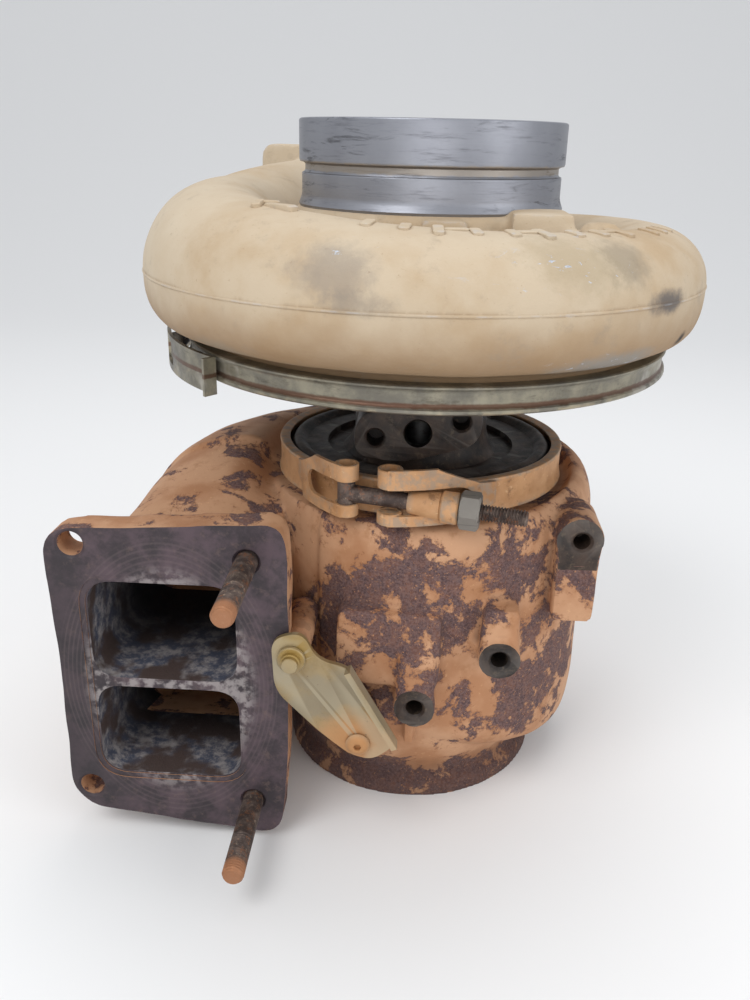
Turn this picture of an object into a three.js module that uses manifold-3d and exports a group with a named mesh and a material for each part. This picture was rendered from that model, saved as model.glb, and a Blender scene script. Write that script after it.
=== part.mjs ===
// Large twin-entry turbocharger, standing on its turbine outlet rim.
// Millimetres, +Z up. The shaft axis is vertical: the turbine is below, the compressor above.
// Everything is modelled around the shaft axis, and the whole group is then moved so that the
// centre of the base of its outline lies at the origin.

import * as THREE from 'three';
import { mergeVertices } from 'three/addons/utils/BufferGeometryUtils.js';
import Module from 'manifold-3d';

const wasm = await Module();
wasm.setup();

// ---------------------------------------------------------------- driving dimensions

const AXIS = { x: 19.3, y: 6.8 };        // where the shaft axis stands in the finished frame
const GAP = 0.3;                         // clearance between pieces that touch
const TOP = 410;                         // inlet spigot rim above the outlet rim

// Sides on a round piece, by its size
const SIDES = { large: 26, medium: 16, small: 10, bolt: 8 };

// Compressor cover
const SPIGOT_R = 77;                     // hose spigot, upper lip
const INLET_BORE_R = 72;
const INDUCER_R = 54;
const COVER_SEAM_Z = 327;                // parting plane of the scroll
const COVER_FLANGE_R = 141;
const COVER_JOINT_Z = 284;               // face between cover and backplate
const PILOT_R = 130.6;                   // bore that centres the backplate
const SCROLL_WALL = 7;
const TONGUE_ANGLE = 163;                // degrees, seen from above, where the scroll starts
const DISCHARGE_START_R = 126;           // radius at which the discharge leaves the scroll
const DISCHARGE_LENGTH = 135;
const DISCHARGE_RISE = 22;               // the discharge climbs this much on its way out
const DISCHARGE_HALF = 46;               // half width of the square discharge flange
const DISCHARGE_HOLE = 36;               // bolt holes, from the middle of the flange
const DISCHARGE_BORE_R = 33;

// Clamp bands
const SHEET = 1.6;                       // band lip thickness
const COMPRESSOR_BAND = { inner: 141.6, outer: 145.5, low: 276.5, high: 291 };
const TURBINE_BAND = { inner: 88.6, outer: 91.6, low: 201, high: 222 };

// Bearing housing and shaft
const DRAIN_Z = 243;                     // middle of the oil flange
const SHAFT_R = 11;
const BEARING_OUTER_R = 17;
const BEARING_BORE_R = 17.5;
const BEARING_LENGTH = 20;
const BEARING_Z = [168, 236];            // lower faces of the turbine and compressor bearings

// Turbine
const TURBINE_JOINT_Z = 212;
const TURBINE_TIP_R = 58;
const TURBINE_BACK_Z = 124;
const OUTLET_RIM_R = 86;
const OUTLET_BORE_R = 72;

// Turbine inlet flange, facing -Y
const FLANGE_FACE_Y = -131;
const FLANGE_THICKNESS = 19;
const FLANGE_HOLES = {
  upper_left: [-187, 193],
  lower_left: [-190, 32],
  upper_right: [-90.5, 187],
  lower_right: [-91.5, 28],
};
const STUD_R = 6.15;
const STUD_TIP_Y = -193;
const BRACKET_BACK_Y = -133;
const BRACKET_HOLES = { upper: [-66.2, 131.5], lower: [-28.5, 77] };
const BRACKET_SCREW_R = 4.2;
const PORT = { left: -181, right: -98, upper: [109.5, 171], lower: [44, 103.5] };

// ---------------------------------------------------------------- colours

const paint = (color, roughness, metalness) => () =>
  new THREE.MeshStandardMaterial({ color, roughness, metalness });
const CAST_ALUMINIUM = paint(0xc2a27a, 0.75, 0.1);
const CAST_IRON = paint(0xb9824f, 0.85, 0.1);
const DARK_IRON = paint(0x4a3a30, 0.8, 0.4);
const BAND_STEEL = paint(0x7d766a, 0.5, 0.7);
const PAINTED_BAND = paint(0xae7d49, 0.7, 0.3);
const ZINC = paint(0xb39a55, 0.45, 0.8);
const BOLT_STEEL = paint(0x55504c, 0.5, 0.8);
const BARE_STEEL = paint(0x9a9a9c, 0.35, 0.9);
const WHEEL_ALUMINIUM = paint(0xc8cacc, 0.3, 0.9);
const WHEEL_ALLOY = paint(0x6f625a, 0.5, 0.8);
const BRONZE = paint(0xb08a48, 0.4, 0.8);
const RUBBER = paint(0x202020, 0.9, 0.0);

// ---------------------------------------------------------------- solid tools

const radians = THREE.MathUtils.degToRad;

// A closed geometry becomes a solid once its shared vertices are merged.
function solid(geometry) {
  const bare = geometry.clone();
  bare.deleteAttribute('normal');
  bare.deleteAttribute('uv');
  const merged = mergeVertices(bare, 1e-4);
  return new wasm.Manifold(new wasm.Mesh({
    numProp: 3,
    vertProperties: new Float32Array(merged.attributes.position.array),
    triVerts: new Uint32Array(merged.index.array),
  }));
}

// Points closer than this are one point, so that a cut leaves no slivers.
const WELD = 0.02;

function toGeometry(body) {
  const data = body.getMesh();
  const raw = new THREE.BufferGeometry();
  raw.setAttribute('position', new THREE.BufferAttribute(new Float32Array(data.vertProperties), 3));
  raw.setIndex(new THREE.BufferAttribute(new Uint32Array(data.triVerts), 1));
  const geometry = mergeVertices(raw, WELD);
  const corners = geometry.index.array;
  const kept = [];
  for (let i = 0; i < corners.length; i += 3) {
    const [a, b, c] = corners.slice(i, i + 3);
    if (a !== b && b !== c && c !== a) kept.push(a, b, c);
  }
  geometry.setIndex(kept);
  geometry.computeVertexNormals();
  return geometry;
}

// The main body of a cut, without flakes too thin to matter.
const largest = (body) => body.decompose().reduce((best, one) => (one.volume() > best.volume() ? one : best));

const join = (...bodies) => bodies.reduce((sum, body) => sum.add(body));
const cut = (body, ...tools) => tools.reduce((rest, tool) => rest.subtract(tool), body);

// Solid of revolution about the shaft axis. The profile holds [radius, height] pairs.
function turned(profile, segments = SIDES.large) {
  const points = profile.map(([r, z]) => new THREE.Vector2(r, z));
  const closed = profile[0][0] === 0 ? points : [...points, points[0].clone()];
  const spun = () => new THREE.LatheGeometry(closed, segments).rotateX(Math.PI / 2);
  const made = solid(spun());
  return made.volume() > 0 ? made : solid(flipped(spun()));
}

function flipped(geometry) {
  const index = geometry.index.array;
  for (let i = 0; i < index.length; i += 3) {
    [index[i], index[i + 1]] = [index[i + 1], index[i]];
  }
  return geometry;
}

// Ring with a rectangular section.
const ring = (inner, outer, low, high, segments = SIDES.large) =>
  turned([[inner, low], [outer, low], [outer, high], [inner, high]], segments);

// Round bar from one point to another.
function bar(from, to, radius, segments = 16, endRadius = radius) {
  const a = new THREE.Vector3(...from);
  const b = new THREE.Vector3(...to);
  const along = b.clone().sub(a);
  const geometry = new THREE.CylinderGeometry(endRadius, radius, along.length(), segments);
  const turn = new THREE.Quaternion().setFromUnitVectors(new THREE.Vector3(0, 1, 0), along.clone().normalize());
  geometry.applyQuaternion(turn);
  geometry.translate(...a.add(b).multiplyScalar(0.5).toArray());
  return solid(geometry);
}

// Box between two corners.
function block(low, high) {
  const size = high.map((value, i) => value - low[i]);
  const middle = high.map((value, i) => (value + low[i]) / 2);
  return solid(new THREE.BoxGeometry(...size).translate(...middle));
}

// Outline of [across, up] points with its corners rounded, as a shape.
function roundedShape(points, radius) {
  const shape = new THREE.Shape();
  points.forEach((point, i) => {
    const here = new THREE.Vector2(...point);
    const before = new THREE.Vector2(...points[(i + points.length - 1) % points.length]).sub(here);
    const after = new THREE.Vector2(...points[(i + 1) % points.length]).sub(here);
    const reach = Math.min(radius, before.length() * 0.45, after.length() * 0.45);
    const start = here.clone().add(before.setLength(reach));
    const end = here.clone().add(after.setLength(reach));
    if (i === 0) shape.moveTo(start.x, start.y);
    else shape.lineTo(start.x, start.y);
    shape.quadraticCurveTo(here.x, here.y, end.x, end.y);
  });
  shape.closePath();
  return shape;
}

// Plate facing -Y: the outline lies in X and Z, and the plate runs from yFront to yBack.
function plateY(shape, yFront, yBack, curveSegments = 4) {
  const geometry = new THREE.ExtrudeGeometry(shape, {
    depth: yBack - yFront, bevelEnabled: false, curveSegments,
  });
  geometry.rotateX(Math.PI / 2);
  geometry.translate(0, yBack, 0);
  return solid(geometry);
}

// Skin through equal rings of points, joined end to end or capped.
function loft(rings, closed = false) {
  const count = rings[0].length;
  const positions = rings.flat().flatMap((p) => p.toArray());
  const index = [];
  const last = closed ? rings.length : rings.length - 1;
  for (let i = 0; i < last; i += 1) {
    const next = (i + 1) % rings.length;
    for (let j = 0; j < count; j += 1) {
      const k = (j + 1) % count;
      const a = i * count + j;
      const b = i * count + k;
      const c = next * count + j;
      const d = next * count + k;
      index.push(a, b, d, a, d, c);
    }
  }
  if (!closed) {
    const addCap = (ringNumber, reversed) => {
      const middle = new THREE.Vector3();
      rings[ringNumber].forEach((p) => middle.add(p));
      middle.multiplyScalar(1 / count);
      const centre = positions.length / 3;
      positions.push(...middle.toArray());
      for (let j = 0; j < count; j += 1) {
        const a = ringNumber * count + j;
        const b = ringNumber * count + ((j + 1) % count);
        index.push(...(reversed ? [a, centre, b] : [a, b, centre]));
      }
    };
    addCap(0, true);
    addCap(rings.length - 1, false);
  }
  const geometry = new THREE.BufferGeometry();
  geometry.setAttribute('position', new THREE.BufferAttribute(new Float32Array(positions), 3));
  geometry.setIndex(index);
  const made = solid(geometry);
  return made.volume() > 0 ? made : solid(flipped(geometry));
}

// Smooth value between named stations, each [place, value].
function between(stations, place) {
  let i = 0;
  while (i < stations.length - 2 && place > stations[i + 1][0]) i += 1;
  const [from, low] = stations[i];
  const [to, high] = stations[i + 1];
  const share = THREE.MathUtils.clamp((place - from) / (to - from), 0, 1);
  return low + (high - low) * share;
}

// ---------------------------------------------------------------- compressor cover

// The scroll grows clockwise, seen from above: turn is degrees travelled from the tongue.
const SCROLL_RADIUS = [[0, 132], [163, 130], [253, 123], [343, 124], [360, DISCHARGE_START_R]];
const SCROLL_WIDTH = [[0, 24], [73, 29], [163, 34], [253, 37], [343, 46], [360, 46]];
const SCROLL_TOP = [[0, 22], [73, 26], [163, 30], [253, 34], [343, 50], [360, 50]];
const SCROLL_DROP = 33;
const SCROLL_STEP = 18;

// One ring of the scroll: wide ellipse above the seam, squarer below it.
function scrollRing(centre, outward, width, up, down, points) {
  const list = [];
  for (let i = 0; i < points; i += 1) {
    const angle = (i / points) * Math.PI * 2;
    const c = Math.cos(angle);
    const s = Math.sin(angle);
    const power = s < 0 ? 2 / 3.2 : 1;
    const across = Math.sign(c) * Math.abs(c) ** power * width;
    const rise = Math.sign(s) * Math.abs(s) ** power * (s < 0 ? down : up);
    list.push(centre.clone().addScaledVector(outward, across).setZ(centre.z + rise));
  }
  return list;
}

function scroll(wall, points, overrun) {
  const rings = [];
  for (let turn = -SCROLL_STEP / 2; turn < 360; turn += SCROLL_STEP) {
    const angle = radians(TONGUE_ANGLE - turn);
    const outward = new THREE.Vector3(Math.cos(angle), Math.sin(angle), 0);
    const centre = outward.clone().multiplyScalar(between(SCROLL_RADIUS, turn)).setZ(COVER_SEAM_Z);
    rings.push(scrollRing(centre, outward, between(SCROLL_WIDTH, turn) - wall,
      between(SCROLL_TOP, turn) - wall, SCROLL_DROP - wall, points));
  }
  const outward = dischargeSide();
  const steps = 3;
  for (let step = 0; step <= steps; step += 1) {
    const share = step / steps;
    const centre = dischargePoint(share * (DISCHARGE_LENGTH + overrun));
    centre.setZ(COVER_SEAM_Z + DISCHARGE_RISE * share);
    const end = DISCHARGE_BORE_R + SCROLL_WALL;
    const [width, up, down] = [46, 50, SCROLL_DROP].map((size) => THREE.MathUtils.lerp(size, end, share) - wall);
    rings.push(scrollRing(centre, outward, width, up, down, points));
  }
  // The wide end passes over the thin end, so the spiral is made in two lengths.
  const half = Math.floor(rings.length / 2);
  return join(loft(rings.slice(0, half + 1)), loft(rings.slice(half)));
}

const dischargeSide = () => {
  const angle = radians(TONGUE_ANGLE);
  return new THREE.Vector3(Math.cos(angle), Math.sin(angle), 0);
};

const dischargeWay = () => new THREE.Vector3(dischargeSide().y, -dischargeSide().x, 0);

const dischargePoint = (distance) =>
  dischargeSide().multiplyScalar(DISCHARGE_START_R).addScaledVector(dischargeWay(), distance);

const DISCHARGE_Z = COVER_SEAM_Z + DISCHARGE_RISE;

function coverBody() {
  const core = turned([
    [0, TOP], [SPIGOT_R, TOP], [SPIGOT_R, 386.5], [73.6, 386.5], [73.6, 382], [75.5, 381],
    [75.5, 368.5], [81, 362], [81, 357], [90, 347], [122, 325], [137, 298], [136, 288.6],
    [COVER_FLANGE_R, 286.8], [COVER_FLANGE_R, COVER_JOINT_Z + 0.15], [0, COVER_JOINT_Z + 0.15],
  ], SIDES.large);
  const lug = block([42, -86, 352], [74, -46, 366.5]);
  const body = join(scroll(0, 14, -4), core, dischargeFlange(), lug);
  return largest(cut(body, scroll(SCROLL_WALL, 10, 8), coverBore(), ...dischargeBolts()));
}

function dischargeFlange() {
  const half = DISCHARGE_HALF;
  const outline = roundedShape([[-half, -half], [half, -half], [half, half], [-half, half]], 12);
  const flange = new THREE.ExtrudeGeometry(outline, { depth: 18, bevelEnabled: false, curveSegments: 2 });
  flange.rotateX(Math.PI / 2);
  flange.rotateZ(Math.atan2(dischargeWay().y, dischargeWay().x) - Math.PI / 2);
  const place = dischargePoint(DISCHARGE_LENGTH);
  flange.translate(place.x, place.y, DISCHARGE_Z);
  return solid(flange);
}

// Inlet bore, the space round the compressor wheel, the diffuser gap and the backplate's pilot bore.
const coverBore = () => turned([
  [0, TOP + 1], [INLET_BORE_R, TOP + 1], [INLET_BORE_R, TOP - 1], [60, 362], [INDUCER_R, 348],
  [INDUCER_R, 338], [57, 322], [63, 310], [74, 302], [104, 300], [104, 306], [PILOT_R, 305],
  [PILOT_R, 270], [0, 270],
], SIDES.large);

function dischargeBolts() {
  const tools = [];
  for (const across of [-DISCHARGE_HOLE, DISCHARGE_HOLE]) {
    for (const rise of [-DISCHARGE_HOLE, DISCHARGE_HOLE]) {
      const from = dischargePoint(DISCHARGE_LENGTH - 12).addScaledVector(dischargeSide(), across);
      const to = dischargePoint(DISCHARGE_LENGTH + 10).addScaledVector(dischargeSide(), across);
      tools.push(bar([from.x, from.y, DISCHARGE_Z + rise], [to.x, to.y, DISCHARGE_Z + rise], 5.5, SIDES.bolt));
    }
  }
  return tools;
}

const backplateBody = () => {
  const plate = turned([
    [17, 277], [17, 288.5], [22, 290], [PILOT_R - GAP, 290], [PILOT_R - GAP, COVER_JOINT_Z - 0.15],
    [COVER_FLANGE_R, COVER_JOINT_Z - 0.15], [COVER_FLANGE_R, 281.2], [136, 279.4], [134, 274],
    [62, 266.5], [26, 266.5], [26, 275],
  ], SIDES.large);
  const groove = ring(PILOT_R - 3.6, PILOT_R + 1, 285.6, 288.4, SIDES.large);
  const holes = backplateBoltPlaces().map(([x, y]) => bar([x, y, 260], [x, y, 300], 4.4, SIDES.bolt));
  return cut(plate, groove, ...holes);
};

const backplateBoltPlaces = () => [0, 1, 2, 3, 4, 5].map((i) => {
  const angle = radians(30 + i * 60);
  return [53 * Math.cos(angle), 53 * Math.sin(angle)];
});

// ---------------------------------------------------------------- bearing housing

function bearingHousingBody() {
  const outer = turned([
    [0, 266], [63, 266], [63, 258], [46, 252], [42, 240], [43, 224], [52, 211], [62, 210],
    [74, 219], [77, 223], [80, 222], [83, 217.5], [88, 215], [88, TURBINE_JOINT_Z + 0.15],
    [66, TURBINE_JOINT_Z + 0.15], [66, 146], [60, 136], [0, 136],
  ], SIDES.large);
  const oilFlange = plateY(oilFlangeShape(), -62, -20, 2);
  const feed = bar([0, 30, DRAIN_Z], [0, 62, DRAIN_Z], 18, SIDES.small);
  const body = join(outer, oilFlange, feed);
  const bore = turned([
    [0, 130], [14.2, 130], [14.2, 162], [BEARING_BORE_R, 162], [BEARING_BORE_R, 258.1], [22, 258.1],
    [22, 262], [33, 262], [33, 270], [0, 270],
  ], SIDES.medium);
  const oilChamber = turned([[0, 196], [38, 190], [38, 205], [34, 226], [0, 228]], SIDES.small);
  const drain = bar([-1.4, -70, DRAIN_Z], [-1.4, 0, DRAIN_Z - 20], 8, SIDES.small);
  const feedHole = bar([0, 70, DRAIN_Z], [0, 0, DRAIN_Z], 5, SIDES.bolt);
  const bolts = oilFlangeHoles().map(([x, z]) => bar([x, -70, z], [x, -46, z], 5.2, SIDES.bolt));
  const threads = backplateBoltPlaces().map(([x, y]) => bar([x, y, 250.5], [x, y, 270], 4.4, SIDES.bolt));
  return largest(cut(body, bore, oilChamber, drain, feedHole, ...bolts, ...threads));
}

const oilFlangeHoles = () => [[-26.4, DRAIN_Z - 5.7], [23.6, DRAIN_Z + 5.7]];

function oilFlangeShape() {
  const [[leftX, leftZ], [rightX, rightZ]] = oilFlangeHoles();
  return roundedShape([
    [leftX - 14, leftZ - 12], [-8, DRAIN_Z - 21], [rightX + 12, rightZ - 14], [rightX + 14, rightZ + 10],
    [4, DRAIN_Z + 20], [leftX - 12, leftZ + 14],
  ], 12);
}

// ---------------------------------------------------------------- turbine housing

// Stations run round the scroll from its thin end (front) to the inlet duct (left):
// angle in degrees about the axis, 0 on the right, 90 at the back.
const TURBINE_OUTER = [[-125, 100], [-90, 102], [-45, 108], [0, 114], [60, 126], [120, 152], [180, 184]];
const TURBINE_FLOOR = [[-125, 52], [-90, 50], [-45, 32], [0, 20], [60, 14], [180, 14]];
const TURBINE_CREST = [[-125, 196], [-90, 196], [-45, 202], [0, 208], [90, 212], [180, 217]];
const TURBINE_SHOULDER = [[-125, 178], [0, 180], [90, 172], [180, 158]];

function turbineSection(rOut, floor, crest, shoulder) {
  const fall = crest - shoulder;
  const reach = rOut - 97;
  return [
    [70, floor], [rOut - 16, floor], [rOut - 4, floor + 9], [rOut - 1, floor + 28], [rOut, shoulder],
    [rOut - reach * 0.07, shoulder + fall * 0.45], [rOut - reach * 0.28, shoulder + fall * 0.78],
    [rOut - reach * 0.6, shoulder + fall * 0.96], [97 + reach * 0.1, crest], [96, 198], [70, 198],
  ];
}

function turbineScroll() {
  const rings = [];
  for (let angle = -125; angle <= 180; angle += 15.25) {
    const way = new THREE.Vector3(Math.cos(radians(angle)), Math.sin(radians(angle)), 0);
    const section = turbineSection(between(TURBINE_OUTER, angle), between(TURBINE_FLOOR, angle),
      between(TURBINE_CREST, angle), between(TURBINE_SHOULDER, angle));
    rings.push(section.map(([r, z]) => way.clone().multiplyScalar(r).setZ(z)));
  }
  return loft(rings);
}

// Straight duct from the left side of the scroll forward to the inlet flange.
function inletDuct() {
  // It starts a little inside the end of the scroll.
  const start = turbineSection(181.5, 15.5, 215, 157).map(([r, z]) => new THREE.Vector3(-r, 6, z));
  const end = [
    [86, 37], [176, 37], [184, 40], [189, 48], [189, 160], [186, 170], [180, 176], [172, 179],
    [120, 182], [90, 180], [86, 172],
  ].map(([x, z]) => new THREE.Vector3(-x, FLANGE_FACE_Y + FLANGE_THICKNESS - 1, z));
  const middle = start.map((p, i) => p.clone().lerp(end[i], 0.55));
  return loft([start, middle, end]);
}

const flangeOutline = () => roundedShape([
  [-203, 201], [-71, 210], [-68, 185], [-70, 55], [-75, 2.5], [-190, 17], [-202, 30], [-200, 120],
], 16);

function gasChannel(low, high, upper) {
  const rings = [];
  for (let angle = -112; angle <= 180; angle += 18.25) {
    const way = new THREE.Vector3(Math.cos(radians(angle)), Math.sin(radians(angle)), 0);
    const rOut = between(TURBINE_OUTER, angle) - 10;
    const floor = Math.max(between(TURBINE_FLOOR, angle) + 10, upper ? low : 30);
    rings.push(channelRing(76, rOut, upper ? low : floor, high, way));
  }
  const left = new THREE.Vector3(-1, 0, 0);
  const inDuct = channelRing(-PORT.right, -PORT.left, low, high, left);
  inDuct.forEach((p) => p.setY(-70));
  const mouth = channelRing(-PORT.right, -PORT.left, low, high, left);
  mouth.forEach((p) => p.setY(FLANGE_FACE_Y - 2));
  return loft([...rings, inDuct, mouth]);
}

// Rounded rectangle between two radii and two heights, along a horizontal direction.
function channelRing(r0, r1, z0, z1, way) {
  const shape = roundedShape([[r0, z0], [r1, z0], [r1, z1], [r0, z1]], 16);
  return shape.getPoints(1).slice(0, 8).map((p) => way.clone().multiplyScalar(p.x).setZ(p.y));
}

function mountingBosses() {
  return [
    join(bar([3, -80, 89], [3, -117, 89], 12.5, SIDES.small), block([-8, -114, 89], [14, -90, 118])),
    join(bar([51, -70, 122], [51, -113, 122], 12, SIDES.small), block([40.5, -109, 122], [61.5, -80, 150])),
    join(block([81, -84, 136], [107, -50, 186]), bar([94, -50, 186], [94, -84, 186], 14, SIDES.small)),
  ];
}

const bossHoles = () => [
  bar([3, -125, 89], [3, -98, 89], 5, SIDES.bolt),
  bar([51, -125, 122], [51, -94, 122], 5, SIDES.bolt),
  bar([96, -95, 186], [96, -62, 186], 5, SIDES.bolt),
];

function turbineHousingBody() {
  const core = turned([
    [0, TURBINE_JOINT_Z - 0.15], [88, TURBINE_JOINT_Z - 0.15], [88, 209], [83, 206.5], [83, 196], [95, 196],
    [97, 120], [97, 53], [88, 32], [81, 18], [81, 12], [OUTLET_RIM_R, 8], [OUTLET_RIM_R, 0], [0, 0],
  ], SIDES.large);
  const flange = plateY(flangeOutline(), FLANGE_FACE_Y, FLANGE_FACE_Y + FLANGE_THICKNESS, 3);
  const ledge = block([-45, -109, 99], [17, -60, 148]);
  const bracketPads = Object.values(BRACKET_HOLES).map(([x, z]) =>
    bar([x, -60, z], [x, BRACKET_BACK_Y + GAP, z], 9, SIDES.small));
  const body = join(core, turbineScroll(), inletDuct(), flange, ledge, ...mountingBosses(), ...bracketPads);
  const bore = turned([
    [0, 220], [66.4, 220], [66.4, 128], [61, 124.5], [61, 96], [58.8, 84], [54, 72], [53, 60],
    [OUTLET_BORE_R, 0], [OUTLET_BORE_R, -2], [0, -2],
  ], SIDES.large);
  const nozzle = ring(55, 80, 96, 122, SIDES.large);
  const holes = Object.entries(FLANGE_HOLES).map(([name, [x, z]]) => {
    const radius = name.endsWith('right') ? STUD_R + GAP : 7.2;
    return bar([x, FLANGE_FACE_Y - 5, z], [x, FLANGE_FACE_Y + FLANGE_THICKNESS + 12, z], radius, SIDES.small);
  });
  const bracketHoles = Object.values(BRACKET_HOLES).map(([x, z]) =>
    bar([x, BRACKET_BACK_Y - 5, z], [x, BRACKET_BACK_Y + 18, z], BRACKET_SCREW_R + 0.6, SIDES.bolt));
  return largest(cut(body, gasChannel(...PORT.upper, true), gasChannel(...PORT.lower, false),
    nozzle, bore, ...holes, ...bossHoles(), ...bracketHoles));
}

// ---------------------------------------------------------------- rotor

// Blade from stations of hub and tip points, [radius, height], turning about the axis.
function blade(stations, thickness) {
  const rings = stations.map(({ hub, tip, angle }) => {
    const corner = ([r, z], half) => {
      const turn = radians(angle) + half / r;
      return new THREE.Vector3(r * Math.cos(turn), r * Math.sin(turn), z);
    };
    return [corner(hub, -thickness / 2), corner(hub, thickness / 2), corner(tip, thickness / 3),
      corner(tip, -thickness / 3)];
  });
  return loft(rings);
}

function bladed(hub, stations, thickness, count, offset = 0) {
  let wheel = hub;
  for (let i = 0; i < count; i += 1) {
    const placed = stations.map((s) => ({ ...s, angle: s.angle + offset + (i * 360) / count }));
    wheel = wheel.add(blade(placed, thickness));
  }
  return wheel;
}

const COMPRESSOR_WHEEL_Z = 292.5;

function compressorWheelBody() {
  const z = COMPRESSOR_WHEEL_Z;
  const hub = turned([
    [8.4, z - 1.5], [20, z - 1.5], [20, z], [71.5, z], [71.5, z + 2], [50, z + 6], [32, z + 16], [20, z + 32],
    [15.5, z + 54], [8.4, z + 54],
  ], SIDES.medium);
  const full = [
    { hub: [70, z + 1], tip: [71, z + 7.6], angle: 0 },
    { hub: [40, z + 7], tip: [57.5, z + 19], angle: 20 },
    { hub: [20, z + 27], tip: [53, z + 36], angle: 44 },
    { hub: [14, z + 48], tip: [52.6, z + 50], angle: 72 },
  ];
  const splitter = full.slice(0, 3);
  return bladed(bladed(hub, full, 2, 7), splitter, 2, 7, 180 / 7);
}

function turbineWheelBody() {
  const z = TURBINE_BACK_Z;
  const hub = turned([
    [0, z + 4], [13.8, z + 4], [13.8, z], [50, z], [50, z - 3], [30, z - 14], [18, z - 42], [13, z - 60],
    [9, z - 64], [0, z - 64],
  ], SIDES.medium);
  const stations = [
    { hub: [49, z - 1], tip: [TURBINE_TIP_R, z - 1.5], angle: 0 },
    { hub: [36, z - 7], tip: [TURBINE_TIP_R, z - 27], angle: 0 },
    { hub: [20, z - 28], tip: [53, z - 46], angle: -12 },
    { hub: [13, z - 54], tip: [50, z - 62], angle: -36 },
  ];
  return bladed(hub, stations, 3, 10);
}

const rotorShaftBody = () => turned([
  [0, TURBINE_BACK_Z + 4.3], [13.6, TURBINE_BACK_Z + 4.3], [13.6, 145], [11.6, 145], [11.6, 148],
  [13.6, 148], [13.6, 156], [SHAFT_R, 158], [SHAFT_R, 258], [8, 258], [8, 362], [0, 362],
], SIDES.small);

// ---------------------------------------------------------------- clamps

// Sheet band with inward lips that ride on the two tapered flanges, open at one place.
function bandBody({ inner, outer, low, high }, lip, openAt) {
  const band = turned([
    [inner - lip, low], [outer, low], [outer, high], [inner - lip, high], [inner - lip, high - SHEET],
    [inner, high - SHEET], [inner, low + SHEET], [inner - lip, low + SHEET],
  ]);
  const gap = block([inner - 20, -5, low - 5], [outer + 20, 5, high + 5]).rotate([0, 0, openAt]);
  return cut(band, gap);
}

// Curved sheet that leaves the band and stands off from it, with a window for the clamp bolt.
function strapBody({ from, to, rFrom, rTo, low, high, sheet, window }) {
  const layer = (start, end, half, z0, z1) => {
    const rings = [];
    const steps = 5;
    for (let i = 0; i <= steps; i += 1) {
      const angle = start + ((end - start) * i) / steps;
      const r = rFrom + ((rTo - rFrom) * (angle - from)) / (to - from);
      const way = new THREE.Vector3(Math.cos(radians(angle)), Math.sin(radians(angle)), 0);
      const at = (offset, z) => way.clone().multiplyScalar(r + offset).setZ(z);
      rings.push([at(-half, z0), at(half, z0), at(half, z1), at(-half, z1)]);
    }
    return loft(rings);
  };
  const [winFrom, winTo, winLow, winHigh] = window;
  return cut(layer(from, to, sheet / 2, low, high), layer(winFrom, winTo, sheet * 3, winLow, winHigh));
}

// Straight clamp bolt with a cross bar for a head. share runs from 0 at the head to 1 at the tip.
const pointOn = (bolt, share) => bolt.head.map((value, i) => value + (bolt.tip[i] - value) * share);

function clampBoltBody(bolt) {
  const [x, y, z] = bolt.head;
  const head = bar([x, y, z - bolt.headLength / 2], [x, y, z + bolt.headLength / 2], bolt.headR, SIDES.bolt);
  return join(bar(bolt.head, bolt.tip, bolt.r, SIDES.bolt), head);
}

const onBolt = (bolt, from, to, radius, sides, endRadius = radius) =>
  bar(pointOn(bolt, from), pointOn(bolt, to), radius, sides, endRadius);

const clampNutBody = (bolt) => cut(
  onBolt(bolt, bolt.nut[0], bolt.nut[1], bolt.nutR, 6),
  onBolt(bolt, bolt.nut[0] - 0.1, bolt.nut[1] + 0.1, bolt.r + 0.6, SIDES.bolt),
);

const clampSleeveBody = (bolt) => cut(
  join(onBolt(bolt, bolt.sleeve[0], bolt.sleeve[2], bolt.r + 2.3, SIDES.bolt),
    onBolt(bolt, bolt.sleeve[1], bolt.sleeve[2], bolt.collarR, SIDES.bolt)),
  onBolt(bolt, bolt.sleeve[0] - 0.1, bolt.sleeve[2] + 0.1, bolt.r + 0.6, SIDES.bolt),
);

const TURBINE_BOLT = {
  head: [-40, -95, 215.5], tip: [60, -112.4, 211], r: 4.7, headR: 5, headLength: 24, nutR: 11, collarR: 9,
  sleeve: [0.35, 0.53, 0.63], nut: [0.635, 0.745],
};
const COMPRESSOR_BOLT = {
  head: [-149, -31, 280], tip: [-156, 62, 280], r: 3.4, headR: 3.6, headLength: 18, nutR: 7.5, collarR: 6.5,
  sleeve: [0.58, 0.68, 0.74], nut: [0.745, 0.83],
};

const TURBINE_LOOPS = {
  left: { from: -139, to: -109, rFrom: 94.9, rTo: 113.5, low: 202.5, high: 233.5, sheet: 2.4,
    window: [-129, -112, 209, 222.5] },
  right: { from: -64, to: -99, rFrom: 94.9, rTo: 114.5, low: 201.5, high: 234.5, sheet: 2.4,
    window: [-70, -94, 203.3, 224] },
};
const COMPRESSOR_STRAPS = {
  front: { from: 220, to: 186, rFrom: 148.6, rTo: 159, low: 269.5, high: 290.6, sheet: 2.2,
    window: [196, 188.5, 273.5, 287] },
  rear: { from: 140, to: 174, rFrom: 148.6, rTo: 159, low: 269.5, high: 290.6, sheet: 2.2,
    window: [156, 172.8, 273, 287.5] },
};

// ---------------------------------------------------------------- bracket

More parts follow.
